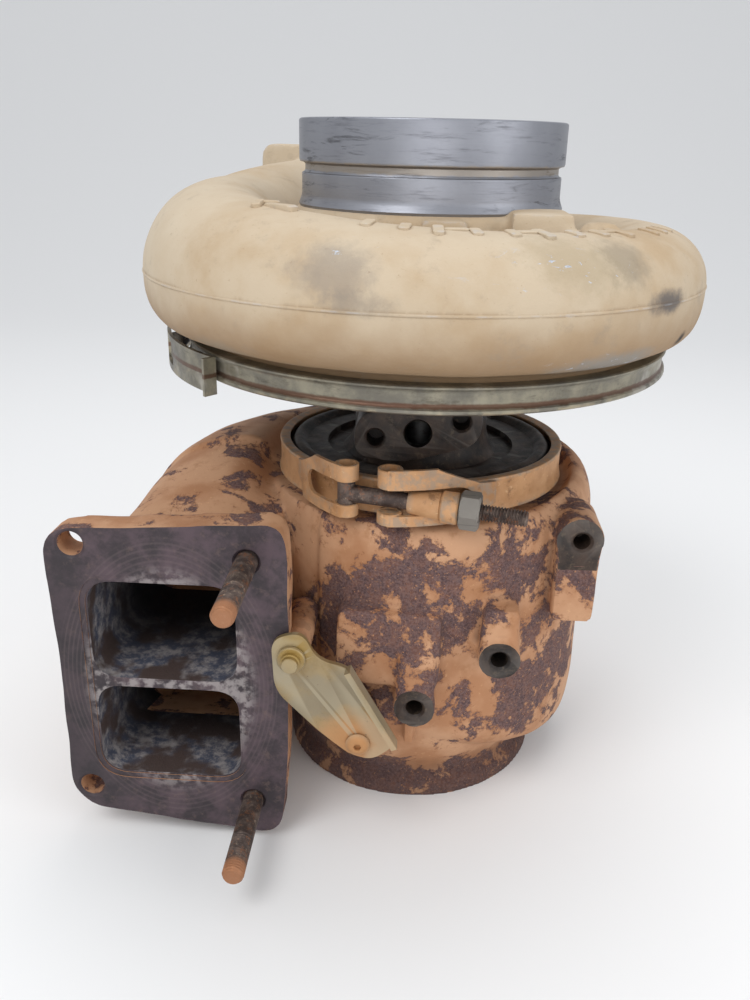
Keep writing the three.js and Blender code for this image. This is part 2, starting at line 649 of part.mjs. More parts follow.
function bracketBody() {
  const outline = roundedShape([
    [-77.5, 143], [-60, 148.5], [-52, 131], [-33, 127], [-5.5, 78], [-20, 66], [-33, 69], [-50.5, 83.5],
    [-76, 110],
  ], 7);
  const plate = plateY(outline, BRACKET_BACK_Y - 3, BRACKET_BACK_Y, 2);
  const fold = loft([[-33, 127], [-5.5, 78]].map(([x, z]) => [
    [x, BRACKET_BACK_Y - 9, z], [x, BRACKET_BACK_Y, z], [x - 3, BRACKET_BACK_Y, z - 1.5],
    [x - 3, BRACKET_BACK_Y - 9, z - 1.5],
  ].map((p) => new THREE.Vector3(...p))));
  const holes = Object.values(BRACKET_HOLES).map(([x, z]) =>
    bar([x, BRACKET_BACK_Y - 10, z], [x, BRACKET_BACK_Y + 5, z], BRACKET_SCREW_R + 0.6, SIDES.bolt));
  return largest(cut(join(plate, fold), ...holes));
}

const bracketScrewBody = ([x, z], headR, proud) => join(
  bar([x, BRACKET_BACK_Y + 16, z], [x, BRACKET_BACK_Y - 3 - proud, z], BRACKET_SCREW_R, SIDES.bolt),
  bar([x, BRACKET_BACK_Y - 3 - GAP, z], [x, BRACKET_BACK_Y - 3 - GAP - 3, z], headR, SIDES.small),
);

// ---------------------------------------------------------------- the assembly

const turbo = new THREE.Group();

function piece(name, body, material, parent = turbo) {
  const mesh = new THREE.Mesh(body.isBufferGeometry ? body : toGeometry(body), material());
  mesh.name = name;
  parent.add(mesh);
  return mesh;
}

piece('compressor_cover', coverBody(), CAST_ALUMINIUM);
piece('compressor_backplate', backplateBody(), DARK_IRON);
piece('cover_seal_ring', ring(PILOT_R - 3.2, PILOT_R - GAP, 286, 288, SIDES.large), RUBBER);
piece('bearing_housing', bearingHousingBody(), DARK_IRON);
piece('turbine_housing', turbineHousingBody(), CAST_IRON);
backplateBoltPlaces().forEach(([x, y], i) => {
  piece(`backplate_bolt_${i + 1}`, bar([x, y, 252], [x, y, 288], 4, SIDES.bolt), BOLT_STEEL);
});

// Rotor and what carries it
piece('rotor_shaft', rotorShaftBody(), BARE_STEEL);
piece('turbine_wheel', turbineWheelBody(), WHEEL_ALLOY);
piece('compressor_wheel', compressorWheelBody(), WHEEL_ALUMINIUM);
const nutLow = COMPRESSOR_WHEEL_Z + 54.3;
const rotorNutBore = bar([0, 0, 300], [0, 0, 370], 8.7, SIDES.small);
piece('rotor_nut', cut(bar([0, 0, nutLow], [0, 0, nutLow + 11], 13, 6), rotorNutBore), BOLT_STEEL);
piece('thrust_collar', turned([
  [8.3, 258.3], [21, 258.3], [21, 261], [13, 261], [13, 265], [21, 265], [21, 268], [8.3, 268],
], SIDES.small), BARE_STEEL);
piece('oil_flinger', turned([
  [8.3, 268.3], [23, 268.3], [23, 271], [16, 275], [16, 280], [14, 280], [14, 283], [16, 283],
  [16, 290.7], [8.3, 290.7],
], SIDES.small), BARE_STEEL);
piece('compressor_piston_ring', ring(15, 16.6, 280.5, 282.5, SIDES.small), BOLT_STEEL);
piece('turbine_piston_ring', ring(12.4, 13.7, 145.5, 147.5, SIDES.small), BOLT_STEEL);
['turbine', 'compressor'].forEach((side, i) => {
  const low = BEARING_Z[i];
  const high = low + BEARING_LENGTH;
  const oilHole = bar([0, -30, low + 10], [0, 30, low + 10], 1.8, 8);
  const sleeve = ring(SHAFT_R + 0.4, BEARING_OUTER_R, low, high, SIDES.medium);
  const retainer = (from) => ring(14.2, BEARING_OUTER_R - GAP, from, from + 1.6, SIDES.small);
  piece(`journal_bearing_${side}`, cut(sleeve, oilHole), BRONZE);
  piece(`bearing_ring_${side}_lower`, retainer(low - 2), BOLT_STEEL);
  piece(`bearing_ring_${side}_upper`, retainer(high + 0.4), BOLT_STEEL);
});
piece('thrust_bearing', ring(13.6, 32.5, 262.3, 264.4, SIDES.medium), BRONZE);
piece('oil_baffle', ring(24, 32.5, 264.8, 266.1, SIDES.medium), BARE_STEEL);
piece('heat_shield', turned([
  [20, 127], [63, 127], [66, 131], [66, 133], [61.5, 129], [20, 129],
], SIDES.large), BARE_STEEL);

// Clamps
piece('turbine_clamp_band', bandBody(TURBINE_BAND, 4.1, -98), PAINTED_BAND);
piece('turbine_clamp_loop_left', strapBody(TURBINE_LOOPS.left), PAINTED_BAND);
piece('turbine_clamp_loop_right', strapBody(TURBINE_LOOPS.right), PAINTED_BAND);
piece('turbine_clamp_bolt', clampBoltBody(TURBINE_BOLT), BOLT_STEEL);
piece('turbine_clamp_sleeve', clampSleeveBody(TURBINE_BOLT), PAINTED_BAND);
piece('turbine_clamp_nut', clampNutBody(TURBINE_BOLT), BOLT_STEEL);
piece('compressor_clamp_band', bandBody(COMPRESSOR_BAND, 4.1, 180), BAND_STEEL);
piece('compressor_clamp_strap_front', strapBody(COMPRESSOR_STRAPS.front), BAND_STEEL);
piece('compressor_clamp_strap_rear', strapBody(COMPRESSOR_STRAPS.rear), BAND_STEEL);
piece('compressor_clamp_bolt', clampBoltBody(COMPRESSOR_BOLT), BOLT_STEEL);
piece('compressor_clamp_sleeve', clampSleeveBody(COMPRESSOR_BOLT), BAND_STEEL);
piece('compressor_clamp_nut', clampNutBody(COMPRESSOR_BOLT), BOLT_STEEL);

// Inlet studs and the sheet bracket beside the flange
['upper', 'lower'].forEach((place) => {
  const [x, z] = FLANGE_HOLES[`${place}_right`];
  const stud = bar([x, STUD_TIP_Y, z], [x, FLANGE_FACE_Y + FLANGE_THICKNESS + 10, z], STUD_R, SIDES.small);
  piece(`inlet_stud_${place}`, stud, BOLT_STEEL);
});
piece('line_bracket', bracketBody(), ZINC);
piece('bracket_stud', bracketScrewBody(BRACKET_HOLES.upper, 8, 9), ZINC);
piece('bracket_screw', bracketScrewBody(BRACKET_HOLES.lower, 7, 4), ZINC);

// The whole machine stands so that the middle of its outline is over the origin.
turbo.position.set(AXIS.x, AXIS.y, 0);

export default turbo;
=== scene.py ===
"""A used twin-entry turbocharger: the looks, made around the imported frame.

Lengths are millimetres about the shaft axis, with heights from the floor, unless a name says metres.
"""
from math import cos, degrees, pi, radians, sin

import bmesh
import bpy
from mathutils import Matrix, Vector, noise


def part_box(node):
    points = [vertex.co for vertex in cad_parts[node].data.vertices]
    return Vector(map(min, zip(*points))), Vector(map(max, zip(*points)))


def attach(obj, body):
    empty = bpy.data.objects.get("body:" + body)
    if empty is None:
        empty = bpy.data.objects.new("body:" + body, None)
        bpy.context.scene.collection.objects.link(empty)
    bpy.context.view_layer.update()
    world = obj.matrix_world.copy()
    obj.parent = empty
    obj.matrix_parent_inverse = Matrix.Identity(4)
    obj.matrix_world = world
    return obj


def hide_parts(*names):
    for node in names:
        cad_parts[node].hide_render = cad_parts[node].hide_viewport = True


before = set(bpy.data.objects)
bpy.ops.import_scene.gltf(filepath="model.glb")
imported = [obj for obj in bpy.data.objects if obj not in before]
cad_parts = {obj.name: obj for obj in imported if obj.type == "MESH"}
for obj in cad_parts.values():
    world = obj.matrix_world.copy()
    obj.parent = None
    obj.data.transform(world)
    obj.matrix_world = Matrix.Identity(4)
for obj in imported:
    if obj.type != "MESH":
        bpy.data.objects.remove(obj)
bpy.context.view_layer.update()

MM = 0.001
FLANGE_FACE, FLANGE_BACK = -131, -112        # the inlet flange, along Y
STUD_TIP = -193
HOLES = {
    "upper_left": (-187, 193), "lower_left": (-190, 32),
    "upper_right": (-90.5, 187), "lower_right": (-91.5, 28)}
SHAFT_LOW, SHAFT_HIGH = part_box("rotor_shaft")
AXIS = Vector(((SHAFT_LOW.x + SHAFT_HIGH.x) / 2, (SHAFT_LOW.y + SHAFT_HIGH.y) / 2, 0))

# ---------------------------------------------------------------- mesh tools


def metres(point):
    """A point about the shaft axis as a point of the frame."""
    return AXIS + Vector(point) * MM


def millimetres(point):
    return (Vector(point) - AXIS) / MM


def round_point(radius, angle, z):
    return (radius * cos(radians(angle)), radius * sin(radians(angle)), z)


def circle_point(centre, side, up, radius, turn):
    """Point of a circle in the plane of two directions, at a share of a full turn."""
    return tuple(centre + side * (radius * cos(2 * pi * turn)) + up * (radius * sin(2 * pi * turn)))


def make(name, points, faces):
    mesh = bpy.data.meshes.new(name)
    mesh.from_pydata([metres(p) for p in points], [], faces)
    work = bmesh.new()
    work.from_mesh(mesh)
    bmesh.ops.recalc_face_normals(work, faces=work.faces)
    work.to_mesh(mesh)
    work.free()
    body = bpy.data.objects.new(name, mesh)
    bpy.context.scene.collection.objects.link(body)
    return body


def lathe(name, profile, steps=144):
    """Solid of revolution. The profile of [radius, height] starts and ends on the axis, or is a ring."""
    points, rows = [], []
    for radius, z in profile:
        first = len(points)
        if radius == 0:
            points.append((0, 0, z))
            rows.append([first] * steps)
        else:
            points += [round_point(radius, 360 * i / steps, z) for i in range(steps)]
            rows.append(list(range(first, first + steps)))
    if profile[0][0] > 0:
        rows.append(rows[0])
    faces = []
    for low, high in zip(rows, rows[1:]):
        for i in range(steps):
            j = (i + 1) % steps
            face = list(dict.fromkeys((low[i], low[j], high[j], high[i])))
            if len(face) > 2:
                faces.append(face)
    return make(name, points, faces)


def loft(name, rings):
    """Skin through equal rings of points, capped at both ends."""
    count = len(rings[0])
    points = [p for ring in rings for p in ring]
    faces = []
    for i in range(len(rings) - 1):
        for j in range(count):
            k = (j + 1) % count
            faces.append((i * count + j, i * count + k, (i + 1) * count + k, (i + 1) * count + j))
    faces.append(list(range(count)))
    faces.append([(len(rings) - 1) * count + j for j in range(count)])
    return make(name, points, faces)


def rounded(corners, radius, steps=7):
    """Outline with its corners rounded, as a list of points."""
    outline = []
    count = len(corners)
    for i, corner in enumerate(corners):
        here = Vector(corner)
        before = Vector(corners[i - 1]) - here
        after = Vector(corners[(i + 1) % count]) - here
        reach = min(radius, before.length * 0.45, after.length * 0.45)
        start = here + before.normalized() * reach
        end = here + after.normalized() * reach
        for step in range(steps + 1):
            t = step / steps
            outline.append(tuple(start * (1 - t) ** 2 + here * 2 * t * (1 - t) + end * t * t))
    return outline


def prism(name, outline, front, back):
    """Plate whose outline lies in X and Z, between two places along Y."""
    return loft(name, [[(x, y, z) for x, z in outline] for y in (front, back)])


def box_outline(low, high, radius):
    return rounded([(low[0], low[1]), (high[0], low[1]), (high[0], high[1]), (low[0], high[1])], radius)


def block(name, low, high):
    corners = [(low[0], low[2]), (high[0], low[2]), (high[0], high[2]), (low[0], high[2])]
    return prism(name, corners, low[1], high[1])


def side_ways(start, end):
    """Two directions square to a line, and the direction of the line."""
    along = (Vector(end) - Vector(start)).normalized()
    side = along.cross(Vector((0, 0, 1)))
    if side.length < 0.01:
        side = Vector((1, 0, 0))
    side.normalize()
    return side, along.cross(side), along


def turned(name, start, end, profile, steps=40):
    """Round solid about any line. The profile holds (distance along, radius)."""
    side, up, along = side_ways(start, end)
    origin = Vector(start)
    rings = []
    for distance, radius in profile:
        centre = origin + along * distance
        rings.append([circle_point(centre, side, up, radius, i / steps) for i in range(steps)])
    return loft(name, rings)


def bar(name, start, end, radius, steps=40, chamfer=0.0):
    length = (Vector(end) - Vector(start)).length
    profile = [(0, radius), (length, radius)]
    if chamfer:
        small = radius - chamfer
        profile = [(0, small), (chamfer, radius), (length - chamfer, radius), (length, small)]
    return turned(name, start, end, profile, steps)


def threaded(name, start, end, radius, depth, pitch, steps=32):
    """Round bar with a real screw thread and a chamfer at its tip."""
    side, up, along = side_ways(start, end)
    length = (Vector(end) - Vector(start)).length
    rows = int(length / pitch * 8)
    rings = []
    for row in range(rows + 1):
        distance = length * row / rows
        tip = max(0.0, distance - length + 2 * depth)
        ring = []
        for i in range(steps):
            phase = (distance / pitch + i / steps) % 1
            groove = depth * min(1.0, max(0.0, 1.7 * abs(2 * phase - 1) - 0.25))
            r = min(radius - groove, radius - tip * 0.8)
            ring.append(circle_point(Vector(start) + along * distance, side, up, r, i / steps))
        rings.append(ring)
    return loft(name, rings)


def hexagon(name, start, end, corner_radius, bore, chamfer=1.4):
    """Hexagon nut or head with its corners turned off at both ends."""
    length = (Vector(end) - Vector(start)).length
    body = turned(name, start, end, [(0, corner_radius), (length, corner_radius)], 6)
    flat = corner_radius * cos(pi / 6)
    cone = turned(name, start, end, [
        (-0.1, flat - 0.4), (0, flat - 0.3), (chamfer, corner_radius + 0.2),
        (length - chamfer, corner_radius + 0.2), (length, flat - 0.3), (length + 0.1, flat - 0.4)], 48)
    body = combine(body, "INTERSECT", cone)
    if bore:
        sink = turned(name, start, end, [
            (-1, bore + 2.2), (1.4, bore), (length - 1.4, bore), (length + 1, bore + 2.2)], 40)
        body = combine(body, "DIFFERENCE", sink)
    return body


def apply(body):
    graph = bpy.context.evaluated_depsgraph_get()
    made = bpy.data.meshes.new_from_object(body.evaluated_get(graph))
    old = body.data
    body.modifiers.clear()
    body.data = made
    bpy.data.meshes.remove(old)
    return body


def combine(body, operation, *tools):
    """Join tools to a body, or cut them from it."""
    for tool in tools:
        change = body.modifiers.new(operation, "BOOLEAN")
        change.solver = "MANIFOLD"
        change.operation = operation
        change.object = tool
    apply(body)
    for tool in tools:
        bpy.data.objects.remove(tool)
    return body


def join(body, *tools):
    return combine(body, "UNION", *tools)


def cut(body, *tools):
    return combine(body, "DIFFERENCE", *tools)


def cast(body, voxel, rounds, waviness=0.0, size=30.0):
    """Turn a sharp solid into a casting: soft corners, fillets where features meet, uneven skin."""
    remesh = body.modifiers.new("voxels", "REMESH")
    remesh.mode = "VOXEL"
    remesh.voxel_size = voxel * MM
    soft = body.modifiers.new("soft", "SMOOTH")
    soft.factor = 0.5
    soft.iterations = rounds
    apply(body)
    if waviness:
        normals = [vertex.normal.copy() for vertex in body.data.vertices]
        for vertex, normal in zip(body.data.vertices, normals):
            vertex.co += normal * (waviness * MM * noise.noise(vertex.co / (size * MM)))
    return body


def bevelled(body, width, segments=2, angle=35):
    edge = body.modifiers.new("edge", "BEVEL")
    edge.width = width * MM
    edge.segments = segments
    edge.limit_method = "ANGLE"
    edge.angle_limit = radians(angle)
    edge.use_clamp_overlap = True
    return apply(body)


def shaded(body, angle=32):
    """Smooth faces, with creases where the surface turns sharply."""
    body.data.polygons.foreach_set("use_smooth", [True] * len(body.data.polygons))
    body.data.set_sharp_from_angle(angle=radians(angle))
    return body


def paint(body, material, *regions):
    """One material for the whole body, then others where a test of (centre, normal) holds."""
    body.data.materials.clear()
    body.data.materials.append(material)
    for region_material, _ in regions:
        body.data.materials.append(region_material)
    for face in body.data.polygons:
        face.material_index = 0
        if not regions:
            continue
        centre = millimetres(face.center)
        for number, (_, test) in enumerate(regions, 1):
            if test(centre, face.normal):
                face.material_index = number
                break
    return body


def piece(body, material, node, rides="housing", angle=32, regions=()):
    """Finish a piece: its paint, shading, the body it rides on and the CAD node it stands for."""
    paint(body, MATERIALS[material], *[(MATERIALS[name], test) for name, test in regions])
    shaded(body, angle)
    flats = body.modifiers.new("flat_faces", "WEIGHTED_NORMAL")
    flats.keep_sharp = True
    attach(body, rides)
    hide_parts(node)
    return body


def between(stations, place):
    """Value between stations of (place, value)."""
    i = 0
    while i < len(stations) - 2 and place > stations[i + 1][0]:
        i += 1
    (start, low), (end, high) = stations[i], stations[i + 1]
    share = min(1.0, max(0.0, (place - start) / (end - start)))
    return low + (high - low) * share


def smoothly(stations, place, reach=18):
    """Value between stations, rounded off where the slope changes."""
    samples = [between(stations, place + reach * step / 3) for step in range(-3, 4)]
    return sum(samples) / len(samples)


# ---------------------------------------------------------------- material tools


def colour(code):
    """Colour from a web code, as the linear values that shaders use."""
    values = [int(code[i:i + 2], 16) / 255 for i in (0, 2, 4)]
    return [v / 12.92 if v <= 0.04045 else ((v + 0.055) / 1.055) ** 2.4 for v in values] + [1.0]


class Surface:
    """A procedural material. Sizes are millimetres, places are about the shaft axis."""

    def __init__(self, name, metallic=0.0, specular=0.5):
        self.material = bpy.data.materials.new(name)
        self.material.use_nodes = True
        self.nodes = self.material.node_tree.nodes
        self.links = self.material.node_tree.links
        self.shader = self.nodes["Principled BSDF"]
        self.shader.inputs["Metallic"].default_value = metallic
        self.shader.inputs["Specular IOR Level"].default_value = specular
        self.place = self.nodes.new("ShaderNodeTexCoord").outputs["Object"]
        self.relief = None

    def put(self, socket, value):
        if isinstance(value, bpy.types.NodeSocket):
            self.links.new(value, socket)
        else:
            socket.default_value = value

    def add(self, kind, output, inputs, **settings):
        """One shader node: its settings, then its inputs. Gives the output that is wanted."""
        node = self.nodes.new("ShaderNode" + kind)
        for setting, value in settings.items():
            setattr(node, setting, value)
        for key, value in inputs.items():
            self.put(node.inputs[key], value)
        return node.outputs[output]

    def times(self, a, b):
        return self.add("Math", 0, {0: a, 1: b}, operation="MULTIPLY")

    def plus(self, a, b):
        return self.add("Math", 0, {0: a, 1: b}, operation="ADD")

    def most(self, first, *others):
        for other in others:
            first = self.add("Math", 0, {0: first, 1: other}, operation="MAXIMUM")
        return first

    def vector(self, operation, a, b=(0, 0, 0), output="Vector"):
        return self.add("VectorMath", output, {0: a, 1: b}, operation=operation)

    def noise(self, size, detail=4.0, rough=0.55, stretch=None, distortion=0.0):
        place = self.vector("MULTIPLY", self.place, stretch) if stretch else self.place
        return self.add("TexNoise", "Fac", {"Vector": place, "Scale": 1 / (size * MM), "Detail": detail,
                                            "Roughness": rough, "Distortion": distortion})

    def step(self, value, low, high):
        """0 below low, 1 above high, smooth between. low may be above high to turn it round."""
        return self.add("MapRange", "Result", {"Value": value, "From Min": low, "From Max": high},
                        interpolation_type="SMOOTHSTEP")

    def span(self, value, low, high):
        """A share from 0 to 1 as a value from low to high."""
        return self.add("MapRange", "Result", {"Value": value, "To Min": low, "To Max": high})

    def patches(self, low, high, *grain):
        """Irregular patches, 1 where the noise is above high. grain is what noise() takes."""
        return self.step(self.noise(*grain), low, high)

    def mix(self, share, a, b):
        a, b = (colour(c) if isinstance(c, str) else c for c in (a, b))
        return self.add("Mix", 2, {0: share, 6: a, 7: b}, data_type="RGBA")

    def tint(self, base, code, where, share):
        """The base colour, with a share of another colour where a mask is 1."""
        return self.mix(self.times(where, share), base, code)

    def from_point(self, centre, scale=(1, 1, 1)):
        """Distance from a point, in millimetres, with each axis divided by its scale."""
        shift = self.vector("SUBTRACT", self.place, metres(centre))
        size = self.vector("MULTIPLY", shift, [1 / (MM * s) for s in scale])
        return self.vector("LENGTH", size, output="Value")

    def spot(self, centre, radii, ragged=0.35, grain=9.0):
        """1 inside a ragged patch round a point, fading to 0 outside."""
        wobble = self.span(self.noise(grain, 9, 0.7), ragged, -ragged)
        return self.step(self.plus(self.from_point(centre, radii), wobble), 1.15, 0.35)

    def along(self, axis):
        """Place along X, Y or Z, in millimetres."""
        part = self.add("SeparateXYZ", axis, {0: self.place})
        return self.add("Math", 0, {0: part, 1: MM}, operation="DIVIDE")

    def wavy_height(self, grain, reach):
        """Height from the floor, made uneven by a few millimetres of noise."""
        return self.plus(self.along("Z"), self.span(self.noise(*grain), -reach, reach))

    def pointed(self):
        """0.5 on flat skin, more on outer corners, less in hollows."""
        return self.nodes.new("ShaderNodeNewGeometry").outputs["Pointiness"]

    def bump(self, value, depth, strength=1.0):
        """Add relief: value from 0 to 1 becomes a depth in millimetres."""
        inputs = {"Strength": strength, "Distance": depth * MM, "Height": value}
        if self.relief is not None:
            inputs["Normal"] = self.relief
        self.relief = self.add("Bump", "Normal", inputs)

    def done(self, base, roughness, metallic=None):
        self.put(self.shader.inputs["Base Color"], base)
        self.put(self.shader.inputs["Roughness"], roughness)
        if metallic is not None:
            self.put(self.shader.inputs["Metallic"], metallic)
        if self.relief is not None:
            self.put(self.shader.inputs["Normal"], self.relief)
        return self.material


# ---------------------------------------------------------------- materials


def cover_paint():
    """Tan paint on sand-cast aluminium: grime, rubbed marks, bare silver scratches, corrosion, with painted
    shade on its lower part and in its hollows.
    """
    s = Surface("tan_cover_paint", specular=0.35)
    base = s.mix(s.patches(0.38, 0.66, 46, 5), "bfae96", "b29b7d")
    base = s.tint(base, "c6b9a4", s.patches(0.42, 0.62, 90, 3), 0.55)
    # Painted shade: the paint turns darker towards the bottom, under the scroll.
    low = s.wavy_height((24, 5), 9)
    base = s.tint(base, "8d7050", s.step(low, 334, 298), 0.85)
    grime = s.patches(0.55, 0.72, 17, 9, 0.7)
    base = s.tint(base, "8f8272", grime, 0.42)
    specks = s.patches(0.63, 0.70, 2.6, 5, 0.7, (1, 1, 1.6))
    base = s.tint(base, "94795d", specks, s.span(s.noise(30), 0.05, 0.75))
    for centre, radii, shade, share in (
            ((-42, -146, 343), (24, 30, 15), "8d8378", 0.62),
            ((-30, -150, 331), (22, 20, 7), "857b70", 0.55),
            ((92, -116, 347), (20, 18, 15), "7f7667", 0.55),
            ((116, -106, 328), (26, 16, 7), "4c4d52", 0.8),
            ((66, -132, 347), (36, 20, 18), "9a8b70", 0.45),
            ((-98, -112, 300), (26, 20, 7), "8d8272", 0.55),
            ((88, -118, 300), (44, 30, 8), "83827e", 0.75),
            ((132, -82, 306), (7, 7, 5), "1d1a19", 0.95),
            ((76, -124, 296), (9, 9, 7), "7d7467", 0.8),
            ((97, -112, 294), (11, 9, 6), "6f675d", 0.8)):
        base = s.tint(base, shade, s.spot(centre, radii, 0.55, 7), share)
    rubbed = s.most(s.spot((62, -140, 345), (52, 34, 10), 0.6, 12),
                    s.most(s.spot((-34, -146, 352), (14, 16, 7), 0.5, 8),
                           s.spot((84, -128, 300), (34, 26, 7), 0.6, 9)))
    bare = s.times(s.patches(0.60, 0.635, 5.5, 8, 0.72, (0.45, 0.45, 1.5), 0.8), rubbed)
    crest = s.times(s.step(s.pointed(), 0.53, 0.57), s.patches(0.47, 0.6, 8, 6))
    bare = s.most(bare, s.times(crest, 0.3))
    base = s.mix(bare, base, "c3cad6")
    # Painted shade: the paint darker in hollows and creases.
    hollow_shade = s.step(s.pointed(), 0.49, 0.44)
    base = s.tint(base, "7c6349", hollow_shade, 0.55)
    s.bump(s.noise(1.3, 4, 0.6), 0.30, 0.55)
    s.bump(s.noise(6.5, 5, 0.6), 0.7, 0.35)
    s.bump(bare, -0.12, 0.6)
    return s.done(base, s.span(bare, 0.74, 0.34), s.times(bare, 0.85))


def machined_aluminium():
    """Bare turned aluminium, grey-lilac, with dark streaks and fine turning marks."""
    s = Surface("machined_aluminium", metallic=0.92)
    base = s.mix(s.noise(22, 5), "83858d", "9fa1a8")
    streak = s.times(s.patches(0.55, 0.66, 13, 9, 0.72, (0.35, 0.35, 2.4), 0.7), s.patches(0.40, 0.58, 60, 2))
    base = s.tint(base, "46484d", streak, 0.6)
    rub = s.patches(0.52, 0.7, 9, 7, 0.7, (0.22, 0.22, 2.6))
    base = s.tint(base, "6b6d75", rub, 0.45)
    low = s.wavy_height((5, 5), 1.4)
    brass = s.times(s.step(low, 382.0, 383.4), s.step(low, 388.2, 386.8))
    base = s.tint(base, "b39a6a", brass, 0.3)
    s.bump(s.noise(0.8, 2, 0.5, (0.04, 0.04, 1)), 0.10, 0.5)
    s.bump(s.noise(3.0, 5, 0.65), 0.10, 0.3)
    return s.done(base, s.span(s.most(streak, rub), 0.44, 0.66))


def oily_iron(name, light, dark, wet=0.35):
    """Dark cast iron with an oil film and dust."""
    s = Surface(name, metallic=0.25)
    base = s.mix(s.patches(0.36, 0.66, 14, 7, 0.65), dark, light)
    dust = s.times(s.patches(0.52, 0.68, 4.5, 8, 0.72), 0.5)
    base = s.mix(dust, base, "6a5a48")
    edge = s.step(s.pointed(), 0.52, 0.58)
    base = s.tint(base, "77706a", edge, 0.5)
    s.bump(s.noise(1.5, 5, 0.65), 0.35, 0.6)
    s.bump(s.noise(7, 4), 0.5, 0.3)
    return s.done(base, s.span(s.noise(10, 5), wet, wet + 0.4))


def rusty_paint(name, amount=0.0, light="be9270", dark="a87855"):
    """Orange-tan paint flaking off dark rust in patches with ragged, grainy edges, with painted shade in
    hollows and near the floor.
    """
    s = Surface(name, specular=0.35)
    base = s.mix(s.patches(0.4, 0.62, 40, 4), light, dark)
    base = s.tint(base, "96663f", s.patches(0.52, 0.72, 11, 8, 0.7), 0.5)
    base = s.tint(base, "dcb184", s.patches(0.6, 0.7, 3, 5, 0.7), 0.35)
    dense = s.most(s.spot((2, -104, 150), (58, 60, 52), 0.4, 26),
                   s.spot((68, -82, 178), (34, 44, 40), 0.4, 22),
                   s.times(s.spot((-48, -104, 120), (26, 60, 60), 0.4, 20), 0.8),
                   s.times(s.spot((80, -58, 92), (46, 52, 52), 0.5, 22), 1.2))
    # Near the floor: this band adds rust there, and further down it also gives the painted shade near the
    # floor.
    foot = s.step(s.wavy_height((12, 6), 8), 34, 14)
    dense = s.most(dense, s.times(foot, 1.1))
    field = s.plus(s.span(s.noise(24, 12, 0.62, None, 0.35), -0.5, 0.5), s.times(dense, 0.115))
    field = s.plus(field, s.span(s.noise(3.6, 9, 0.78), -0.16, 0.16))
    rust = s.step(field, 0.055 - amount, 0.072 - amount)
    grain = s.patches(0.40, 0.60, 1.5, 6, 0.8)
    scale = s.mix(s.patches(0.4, 0.65, 7, 8, 0.7), "4d3a3c", "6d4a3e")
    scale = s.tint(scale, "856d68", grain, 0.55)
    fleck = s.times(s.patches(0.585, 0.62, 2.1, 7, 0.8), 0.75)
    scale = s.mix(fleck, scale, "c08a60")
    base = s.mix(rust, base, scale)
    rim = s.times(s.step(field, 0.02 - amount, 0.055 - amount), s.step(field, 0.075 - amount, 0.056 - amount))
    base = s.tint(base, "7e4c2c", rim, 0.45)
    # Painted shade: darker in hollows and creases.
    hollow_shade = s.step(s.pointed(), 0.49, 0.43)
    base = s.tint(base, "432f27", hollow_shade, 0.6)
    edge = s.times(s.step(s.pointed(), 0.54, 0.6), s.patches(0.45, 0.55, 6, 6))
    base = s.tint(base, "5d463e", edge, 0.6)
    # Painted shade: the housing turns very dark near the floor.
    base = s.tint(base, "3a2620", foot, 0.45)
    s.bump(rust, -0.35, 0.8)
    s.bump(s.times(s.noise(1.4, 6, 0.75), s.span(rust, 0.25, 1.0)), 0.8, 0.8)
    s.bump(s.noise(5.5, 4), 0.5, 0.3)
    return s.done(base, s.span(rust, 0.66, 0.88))


def flange_scale():
    """Machined iron face burnt dark, with gasket rings round the ports."""
    s = Surface("burnt_flange_face", metallic=0.25)
    base = s.mix(s.patches(0.36, 0.64, 20, 8, 0.68), "332c30", "53444a")
    base = s.tint(base, "705c54", s.patches(0.54, 0.7, 6, 8, 0.7), 0.4)
    base = s.tint(base, "2c272a", s.spot((-195, FLANGE_FACE, 90), (34, 40, 110), 0.4, 20), 0.55)
    away = s.from_point((-137, FLANGE_FACE, 107), (58, 1, 84))
    lines = s.times(s.step(away, 0.78, 0.82), s.step(away, 1.12, 1.06))
    wave = s.add("Math", 0, {0: s.times(away, 150.0)}, operation="SINE")
    base = s.tint(base, "7a6a68", s.times(lines, 0.14), s.span(wave, 0, 1))
    rim = s.times(s.step(s.from_point((-137, FLANGE_FACE, 107), (47, 20, 70)), 1.12, 0.9), 0.6)
    base = s.tint(base, "a59e9c", rim, s.patches(0.4, 0.6, 5, 6))
    s.bump(wave, 0.03, 0.12)
    s.bump(s.noise(2.2, 6, 0.7), 0.25, 0.5)
    return s.done(base, s.span(s.noise(9, 5), 0.42, 0.72))


def soot_and_shade():
    """Inside of the gas ports: bluish-grey scale over cast iron, with painted shade turning it black further
    in.
    """
    s = Surface("port_soot_and_shade", metallic=0.15)
    base = s.mix(s.patches(0.42, 0.62, 9, 8, 0.72), "474b5a", "96908f")
    base = s.mix(s.patches(0.45, 0.6, 26, 4), base, "4a3c38")
    # Painted shade: near black deeper into the ports.
    base = s.mix(s.step(s.along("Y"), FLANGE_BACK, -36), base, "17171b")
    s.bump(s.noise(2.0, 6, 0.7), 0.5, 0.7)
    return s.done(base, s.span(s.noise(6, 5), 0.5, 0.85))


def worn_steel(name, light, dark, stain, metallic=0.85, rough=0.42):
    """Bare sheet or bar steel gone dull: stains, rubbed edges, fine scratches."""
    s = Surface(name, metallic=metallic)
    base = s.mix(s.patches(0.36, 0.66, 18, 7, 0.65), dark, light)
    stains = s.times(s.patches(0.53, 0.68, 7, 9, 0.72, (0.6, 0.6, 1.3)), 0.75)
    base = s.mix(stains, base, stain)
    edge = s.step(s.pointed(), 0.52, 0.58)
    base = s.tint(base, "b3aca2", edge, 0.45)
    s.bump(s.noise(1.0, 5, 0.7), 0.12, 0.5)
    s.bump(s.noise(0.7, 2, 0.5, (0.1, 0.1, 1)), 0.05, 0.3)
    return s.done(base, s.span(s.most(stains, s.noise(5, 5)), rough - 0.12, rough + 0.3))


